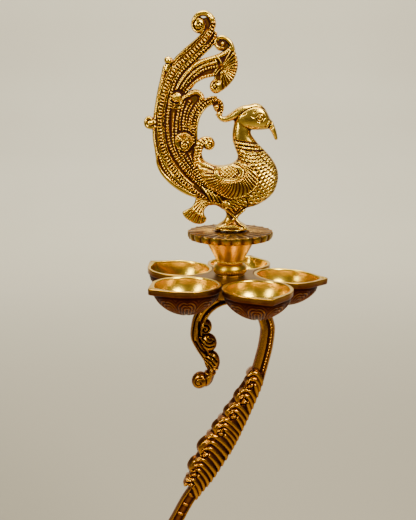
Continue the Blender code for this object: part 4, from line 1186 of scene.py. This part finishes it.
def cup_relief(angle, t):
    """Relief round a bowl at a share of its depth: nested arches with rings between."""
    radius = 19 * np.cos(t * pi / 2) ** 0.9
    turn = (angle - radians(ARCH_TURN)) * ARCH_COUNT / (2 * pi)
    half = np.abs((turn + 0.5) % 1 - 0.5) * 2 * pi / ARCH_COUNT * radius
    tall = max(0.0, (0.42 - t) * 21)
    arch = np.hypot(half, tall - 0.9 * np.sqrt(half) * (tall > 0))
    nested = 0.55 * wave(arch + 0.5, 1.8, 0.8) * step(6.2, 5.4, arch)
    field = np.where(arch < 5.8, nested, 0.3 * wave(arch, 1.6, 0.8))
    return field * step(0.03, 0.09, t) * step(0.985, 0.93, t)


def cup_rows(angle):
    """A cup's rows of (r, z) from the middle of its floor, over the rim, to the middle below;
    with each row's recess, and how far it is inside the cup."""
    signed = (angle + pi) % (2 * pi) - pi
    reach = np.arccos(CUP_OUTER / LIP_LENGTH)
    away = np.sqrt(signed ** 2 + LIP_SOFTNESS ** 2)
    lip = np.where(away < reach, CUP_OUTER / np.cos(np.minimum(reach - away, reach)), CUP_OUTER)
    lip_share = step(CUP_OUTER + 0.2, LIP_LENGTH - 0.6, lip)
    mouth = CUP_INNER + 1.9 * np.exp(-(signed / radians(15)) ** 2)
    rows, recess, inner = [], [], []

    def row(r, z, sunk, inside):
        rows.append(np.stack(np.broadcast_arrays(r + 0 * angle, z), 1))
        recess.append(np.broadcast_to(sunk, angle.shape))
        inner.append(np.full(angle.shape, inside))

    # the bowl's inside
    for t in np.linspace(0.012, 1, 46):
        a = t * pi / 2
        r = (CUP_INNER - 0.25) * np.sin(a) ** 0.94
        z = (1.7 - CUP_DEPTH) * np.cos(a) ** 0.82
        r = r + (mouth - CUP_INNER) * step(0.75, 1, t)
        row(r, z - 0.25 * step(0.8, 1, t), 0.15 * (1 - t), 1.0)
    # the rim and the grooved lip
    rim_wave = 0.06 * np.sin(7 * angle + 1) + 0.05 * np.sin(13 * angle)
    row(mouth + 0.05, -0.08, -0.4, 1.0)
    row(mouth + 0.22, rim_wave, -0.8, 0.8)
    notches = 0.22 * step(2.2, 2.5, np.abs(signed)) * (0.5 + 0.5 * np.cos(84 * signed))
    groove = 0.7 * np.exp(-(signed / radians(4)) ** 2)
    for t in (0.3, 0.55, 0.8):
        row(mouth + (lip - 0.3 - mouth) * t, rim_wave - groove * lip_share * (1 - t * 0.4),
            -0.5 + 0.7 * lip_share, 0.6)
    # the notched band, darkening towards its lower edge, and the ledge under it, kept dark as
    # painted shade
    row(lip - 0.3, rim_wave - notches * 0.5, -0.8, 0.3)
    row(lip - 0.06 - notches * 0.3, -0.12 - notches, -0.7, 0.0)
    row(lip, -0.4 - notches, -0.5, 0.0)
    for z in (-1.1, -1.9, -2.7, -CUP_BAND + 0.35):
        row(lip - 0.05 * abs(z), z, -0.55 - 0.14 * z, 0.0)
    row(lip - 0.45, -CUP_BAND + 0.02, 0.3, 0.0)
    for t in (0.25, 0.5, 0.75):
        row(lip - 0.45 + (CUP_UNDER - lip + 0.45) * t, -CUP_BAND - 0.15 - 0.9 * t * lip_share,
            0.8, 0.0)
    # the bowl's outside, its ground kept dark as patina and as painted shade
    bowl_top = -CUP_BAND - 0.2 - 0.9 * lip_share
    for t in np.linspace(0.0, 0.985, 74):
        a = t * pi / 2
        share = np.sin(a) ** 1.06
        r = CUP_UNDER * (1 - share ** 1.6) ** 0.6
        z = bowl_top + (-CUP_DEPTH - bowl_top) * share
        carved = cup_relief(angle, t)
        row(r + carved * np.cos(a), z - carved * np.sin(a), 0.7 - carved / 0.55, 0.0)
    return rows, recess, inner


def build_cup_mesh():
    """One cup in its own frame: rim plane at 0, wick lip along +X."""
    count = 432
    angle = np.arange(count) * 2 * pi / count
    rows, recess, inner = cup_rows(angle)
    item = mesh_object("cup_shape", turned(rows, angle),
                       ring_faces(len(rows), count, closed=False),
                       {"recess": np.array(recess).ravel(), "inner": np.array(inner).ravel()})
    bm = bmesh.new()
    bm.from_mesh(item.data)
    bm.verts.ensure_lookup_table()
    layer = bm.verts.layers.float.get("inner")
    first, last = (bm.verts[k * count:(k + 1) * count] for k in (0, len(rows) - 1))
    for ring, inside in ((first, 1.0), (last, 0.0)):
        centre = bm.verts.new(sum((v.co for v in ring), Vector()) / count)
        centre[layer] = inside
        for a, b in zip(ring, ring[1:] + ring[:1]):
            bm.faces.new((a, b, centre) if inside else (b, a, centre))
    bmesh.ops.recalc_face_normals(bm, faces=bm.faces)
    bm.to_mesh(item.data)
    bm.free()
    item.data.shade_smooth()
    return item


# ---- materials -------------------------------------------------------------------------------
# noise scales, in waves per metre
CLOUDS, CUP_CLOUDS, TARNISH, STAINS = 170, 150, 60, 70
GRAIN, CUP_GRAIN, PITS, SPECKS = 2300, 2400, 2600, 620
DULLING, CUP_DULLING = 900, 120
BRUSHED = (5200, 5200, 500)         # streaks that run up a casting
TURNED = (300, 300, 4200)           # rings round a turned cup


class Nodes:
    """Short calls for building a node tree."""

    def __init__(self, name):
        self.material = bpy.data.materials.new(name)
        self.material.use_nodes = True
        self.tree = self.material.node_tree
        self.shader = self.tree.nodes["Principled BSDF"]
        self.place = self.add("ShaderNodeTexCoord").outputs["Object"]

    def add(self, kind, **inputs):
        node = self.tree.nodes.new(kind)
        for key, value in inputs.items():
            self.feed(node.inputs[key.replace("_", " ")], value)
        return node

    def feed(self, socket, value):
        if isinstance(value, bpy.types.NodeSocket):
            self.tree.links.new(value, socket)
        else:
            socket.default_value = value

    def attribute(self, name):
        node = self.add("ShaderNodeAttribute")
        node.attribute_name = name
        return node.outputs["Fac"]

    def math(self, operation, a, b=0.0, c=0.0, clamp=False):
        node = self.add("ShaderNodeMath")
        node.operation = operation
        node.use_clamp = clamp
        for socket, value in zip(node.inputs, (a, b, c)):
            self.feed(socket, value)
        return node.outputs[0]

    def span(self, value, low, high, out_low=0.0, out_high=1.0):
        node = self.add("ShaderNodeMapRange", Value=value, From_Min=low, From_Max=high,
                        To_Min=out_low, To_Max=out_high)
        node.interpolation_type = "SMOOTHSTEP"
        return node.outputs[0]

    def noise(self, scale, detail=3.0, rough=0.55, vector=None, distortion=0.0):
        return self.add("ShaderNodeTexNoise", Vector=vector or self.place, Scale=scale,
                        Detail=detail, Roughness=rough, Distortion=distortion).outputs[0]

    def stretched(self, x, y, z):
        return self.add("ShaderNodeMapping", Vector=self.place, Scale=(x, y, z)).outputs[0]

    def ramp(self, value, stops):
        node = self.add("ShaderNodeValToRGB", Fac=value)
        ramp = node.color_ramp
        while len(ramp.elements) < len(stops):
            ramp.elements.new(0.5)
        for element, (at, colour) in zip(ramp.elements, stops):
            element.position = at
            element.color = (*colour, 1.0)
        return node.outputs["Color"]

    def mix(self, share, a, b):
        node = self.add("ShaderNodeMix")
        node.data_type = "RGBA"
        self.feed(node.inputs["Factor"], share)
        self.feed(node.inputs[6], a if isinstance(a, bpy.types.NodeSocket) else (*a, 1.0))
        self.feed(node.inputs[7], b if isinstance(b, bpy.types.NodeSocket) else (*b, 1.0))
        return node.outputs[2]

    def bump(self, height, strength, distance, normal=None):
        node = self.add("ShaderNodeBump", Height=height, Strength=strength, Distance=distance)
        if normal:
            self.feed(node.inputs["Normal"], normal)
        return node.outputs[0]


def brass(name, bright, middle, deep, polish=0.24, dull=0.5, grime=0.5, gain=1.0, worn=0.16,
          crest=None):
    """Cast brass: polished on its high spots, brown where polish never reaches; a crest colour,
    if given, is rubbed brass and a painted highlight.
    """
    n = Nodes(name)
    cloud, grain = n.noise(CLOUDS, 4, 0.6), n.noise(GRAIN, 3, 0.6)
    age = n.math("MULTIPLY_ADD", n.attribute("recess"), 0.5 * gain, 0.36)
    age = n.math("ADD", age, n.math("MULTIPLY_ADD", cloud, 0.5 * grime, -0.25 * grime))
    age = n.math("ADD", age, n.math("MULTIPLY_ADD", grain, 0.16, -0.08), clamp=True)
    colour = n.ramp(age, [(0.0, crest or bright), (0.28, bright), (0.5, middle), (0.66, deep),
                          (0.85, tuple(0.45 * v for v in deep))])
    tarnish = n.span(n.noise(TARNISH, 3, 0.5, distortion=0.8), 0.52, 0.7)
    colour = n.mix(n.math("MULTIPLY", tarnish, worn), colour, tuple(0.75 * v for v in middle))
    n.feed(n.shader.inputs["Base Color"], colour)
    n.feed(n.shader.inputs["Metallic"], n.span(age, 0.55, 0.95, 1.0, 0.72))
    rough = n.span(age, 0.3, 0.8, polish, dull)
    uneven = n.math("MULTIPLY_ADD", n.noise(DULLING, 4, 0.7), 0.14, -0.07)
    n.feed(n.shader.inputs["Roughness"], n.math("ADD", rough, uneven, clamp=True))
    streaks = n.bump(n.noise(1.0, 2, 0.6, vector=n.stretched(*BRUSHED)), 0.10, 0.00006)
    pits = n.bump(n.noise(PITS, 4, 0.62), 0.35, 0.00012, streaks)
    n.feed(n.shader.inputs["Normal"], pits)
    return n.material


# each brass: the colours of its high spots, of its plain surface and of its hollows
MATERIALS = {
    "bird": brass("peacock_brass", (0.89, 0.575, 0.065), (0.54, 0.26, 0.016),
                  (0.11, 0.024, 0.002), dull=0.46, gain=1.5),
    "tail": brass("plume_brass", (0.90, 0.56, 0.055), (0.44, 0.17, 0.01), (0.085, 0.015, 0.001),
                  polish=0.22, dull=0.46, gain=1.75),
    # the crook's colours are dark red-brown partly as painted shade for the weaker light on the
    # stem; its crest colour is a painted highlight on the sheath's swells as well as rubbed brass
    "stem": brass("stem_brass_painted_light", (0.29, 0.092, 0.007), (0.16, 0.038, 0.003),
                  (0.07, 0.012, 0.002), polish=0.27, grime=0.6, crest=(0.62, 0.27, 0.02)),
    "pedestal": brass("pedestal_brass", (0.60, 0.35, 0.018), (0.44, 0.22, 0.01),
                      (0.14, 0.035, 0.003), polish=0.31, dull=0.4, grime=0.1, worn=0.0),
    "disc": brass("disc_brass", (0.70, 0.47, 0.06), (0.34, 0.165, 0.018), (0.08, 0.025, 0.003),
                  polish=0.25, grime=0.6),
    "base": brass("base_brass", (0.76, 0.42, 0.045), (0.38, 0.15, 0.014), (0.09, 0.02, 0.002),
                  polish=0.2, dull=0.46),
    "fastener": brass("fastener_brass", (0.80, 0.50, 0.08), (0.52, 0.26, 0.03),
                      (0.22, 0.09, 0.012), polish=0.25, dull=0.4, grime=0.3),
    "hub": brass("hub_brass", (0.26, 0.13, 0.025), (0.14, 0.06, 0.012), (0.05, 0.018, 0.004),
                 polish=0.42, dull=0.6, grime=0.7),
}


def cup_brass():
    """Bright turned brass inside; outside, red-brown patina over the relief, darkened further as
    painted shade for the bowls' undersides.
    """
    n = Nodes("cup_brass")
    inner = n.attribute("inner")
    cloud, grain = n.noise(CUP_CLOUDS, 4, 0.6), n.noise(CUP_GRAIN, 3, 0.6)
    age = n.math("MULTIPLY_ADD", n.attribute("recess"), 0.42, 0.42)
    age = n.math("ADD", age, n.math("MULTIPLY_ADD", cloud, 0.3, -0.15))
    age = n.math("ADD", age, n.math("MULTIPLY_ADD", grain, 0.12, -0.06), clamp=True)
    # outside colours: patina, kept darker still as painted shade on the undersides
    outside = n.ramp(age, [(0.0, (0.62, 0.33, 0.03)), (0.25, (0.38, 0.155, 0.01)),
                           (0.38, (0.17, 0.036, 0.002)), (0.58, (0.062, 0.008, 0.001)),
                           (0.8, (0.022, 0.003, 0.001))])
    stains = n.span(n.noise(STAINS, 3, 0.5, distortion=0.6), 0.45, 0.75)
    inside = n.mix(n.math("MULTIPLY", stains, 0.3), (0.84, 0.55, 0.05), (0.56, 0.31, 0.02))
    specks = n.span(n.noise(SPECKS, 2, 0.5), 0.66, 0.74)
    inside = n.mix(n.math("MULTIPLY", specks, 0.35), inside, (0.36, 0.15, 0.04))
    n.feed(n.shader.inputs["Base Color"], n.mix(inner, outside, inside))
    n.feed(n.shader.inputs["Metallic"], 1.0)
    rough_out = n.math("MULTIPLY", n.span(age, 0.2, 0.8, 0.28, 0.5),
                       n.math("SUBTRACT", 1.0, inner))
    rough_in = n.math("MULTIPLY_ADD", n.noise(CUP_DULLING, 2, 0.5), 0.06, 0.22)
    rough = n.math("ADD", rough_out, n.math("MULTIPLY", rough_in, inner))
    n.feed(n.shader.inputs["Roughness"], rough)
    rings = n.bump(n.noise(1.0, 2, 0.5, vector=n.stretched(*TURNED)), 0.12, 0.00006)
    pits = n.bump(n.noise(PITS, 4, 0.6), 0.3, 0.0001, rings)
    n.feed(n.shader.inputs["Normal"], pits)
    return n.material


# ==== build ==================================================================================
CARRIED = {"tray_hub": "hub", "base_washer": "fastener", "base_nut": "fastener",
           "stem_stud": "fastener", "tray_seat_washer": "fastener",
           "finial_washer": "fastener", "peacock_stud": "fastener", "peacock_nut": "fastener"}


def stud_bore(node):
    """The radius and the two heights of the bore that a stud's end sits in."""
    low, high = heights_from_rims(node)
    return outer_radius(node) + BORE_CLEARANCE, low - BORE_CLEARANCE, high + BORE_CLEARANCE


def build_cups():
    """Five cups of one shape on the tray, each in its own place."""
    material, shape = cup_brass(), build_cup_mesh()
    for index in range(CUP_COUNT):
        cup = bpy.data.objects.new(f"oil_cup_{index + 1}", shape.data)
        bpy.context.scene.collection.objects.link(cup)
        cup.matrix_world = cup_frame(index)
        place(cup, "tray", material, f"diya_cup_{index + 1}")
    bpy.data.objects.remove(shape)


def build_lamp():
    """Every piece of the lamp: its body, the finish it takes and the CAD node it stands for."""
    tail = tail_relief().mesh("peacock_tail")
    bird = body_relief().mesh("peacock_body", [stud_bore("peacock_stud")])
    crook = crook_relief().mesh("crook_stem_cast", [stud_bore("tray_stud"),
                                                    stud_bore("stem_stud")])
    for piece, body, slot, material, node in (
            (tail, "finial", "gold_brass", "tail", "peacock"),
            (bird, "finial", "gold_brass", "bird", "peacock"),
            (crook, "stand", "cast_brass", "stem", "stem_crook"),
            (build_base(), "stand", "cast_brass", "base", "base_dome"),
            (build_collar(), "stand", "gold_brass", "base", "stem_collar"),
            (build_tray_stud(), "stand", "fastener_brass", "fastener", "tray_stud"),
            (build_pedestal(), "finial", "gold_brass", "pedestal", "pedestal"),
            (build_disc(), "finial", "gold_brass", "disc", "lotus_disc")):
        place(piece, body, MATERIALS[material], node)
    build_cups()
    for node, material in CARRIED.items():
        for slot in frame["nodes"][node].material_slots:
            slot.material = MATERIALS[material]


build_lamp()


# ---- stage ------------------------------------------------------------------------------------
LAMP_MIDDLE = (0, 0, 0.36)
SOFT_WHITE = (1, 0.98, 0.95)
# each light: its place, what it faces, its width and height in metres, watts and colour
LIGHTS = {
    "key_softbox": ((0.36, -0.46, 0.84), LAMP_MIDDLE, (0.24, 0.28), 8.0, (1, 0.98, 0.93)),
    "fill_softbox": ((-0.46, -0.40, 0.66), LAMP_MIDDLE, (0.16, 0.36), 3.6, SOFT_WHITE),
    "top_softbox": ((-0.04, 0.06, 0.94), LAMP_MIDDLE, (0.34, 0.34), 5.2, SOFT_WHITE),
    "back_wash": ((0.0, 1.0, 2.1), (0, 2.2, 0.5), (2.6, 0.5), 85.0, (1, 1, 1)),
}
AMBIENT, AMBIENT_STRENGTH = (0.95, 0.76, 0.58, 1), 0.12
# the last paper colour is painted shade, for the floor under and in front of the lamp
PAPER, PAPER_PALE, PAPER_PAINTED_SHADE = (0.64, 0.585, 0.42), (0.70, 0.645, 0.48), (0.33, 0.29, 0.2)
STAGE_HALF_WIDTH = 4.0
# the sheet's section, metres in front of the lamp and up: the floor, then the wall behind
STAGE_SECTION = [(4.0, 0.0), (-2.4, 0.0), (-2.4, 2.6)]
CAMERA_PLACE = (-0.0132, -0.469, 0.4406)
CAMERA_TILT = 12.2              # degrees down
CAMERA_LENS, CAMERA_SENSOR = 55.38, 36.0    # millimetres


def area_light(name, place_at, aim, size, power, colour):
    """A rectangular softbox at a place, facing a point."""
    light = bpy.data.lights.new(name, "AREA")
    light.shape = "RECTANGLE"
    light.size, light.size_y = size
    light.energy = power
    light.color = colour
    item = bpy.data.objects.new(name, light)
    bpy.context.scene.collection.objects.link(item)
    item.location = place_at
    item.rotation_euler = (Vector(aim) - Vector(place_at)).to_track_quat("-Z", "Y").to_euler()


def paper():
    """Pale matt paper with a faint mottle, and painted shade that darkens it under and in front
    of the lamp, fading out far behind it.
    """
    n = Nodes("stage_paper")
    tint = n.mix(n.noise(3.0, 3, 0.5), PAPER, PAPER_PALE)
    depth = n.add("ShaderNodeSeparateXYZ", Vector=n.place).outputs["Y"]
    # painted shade: the paper turns darker from behind the lamp towards the front
    n.feed(n.shader.inputs["Base Color"], n.mix(n.span(depth, 0.1, 1.9), PAPER_PAINTED_SHADE, tint))
    n.feed(n.shader.inputs["Roughness"], 0.9)
    return n.material


def build_stage():
    """A pale sheet that runs from the floor up into a wall, with soft lights round it."""
    path = rounded_loop(STAGE_SECTION, 0.9, 0.1, closed=False)
    verts = [(x, -y, z) for y, z in path for x in (-STAGE_HALF_WIDTH, STAGE_HALF_WIDTH)]
    faces = [(2 * k, 2 * k + 1, 2 * k + 3, 2 * k + 2) for k in range(len(path) - 1)]
    sheet = mesh_object("stage_sheet", np.array(verts) / MM, faces)
    sheet.data.materials.append(paper())
    world = bpy.data.worlds.new("studio")
    world.use_nodes = True
    background = world.node_tree.nodes["Background"]
    background.inputs["Color"].default_value = AMBIENT
    background.inputs["Strength"].default_value = AMBIENT_STRENGTH
    bpy.context.scene.world = world
    for name, settings in LIGHTS.items():
        area_light(name, *settings)


def build_camera():
    """The photo's view: from the front, a little above the cups, tilted down."""
    data = bpy.data.cameras.new("camera")
    data.lens = CAMERA_LENS
    data.sensor_width = CAMERA_SENSOR
    camera = bpy.data.objects.new("camera", data)
    bpy.context.scene.collection.objects.link(camera)
    camera.location = CAMERA_PLACE
    camera.rotation_euler = (radians(90 - CAMERA_TILT), 0, 0)
    bpy.context.scene.camera = camera


build_stage()
build_camera()

bpy.context.view_layer.update()
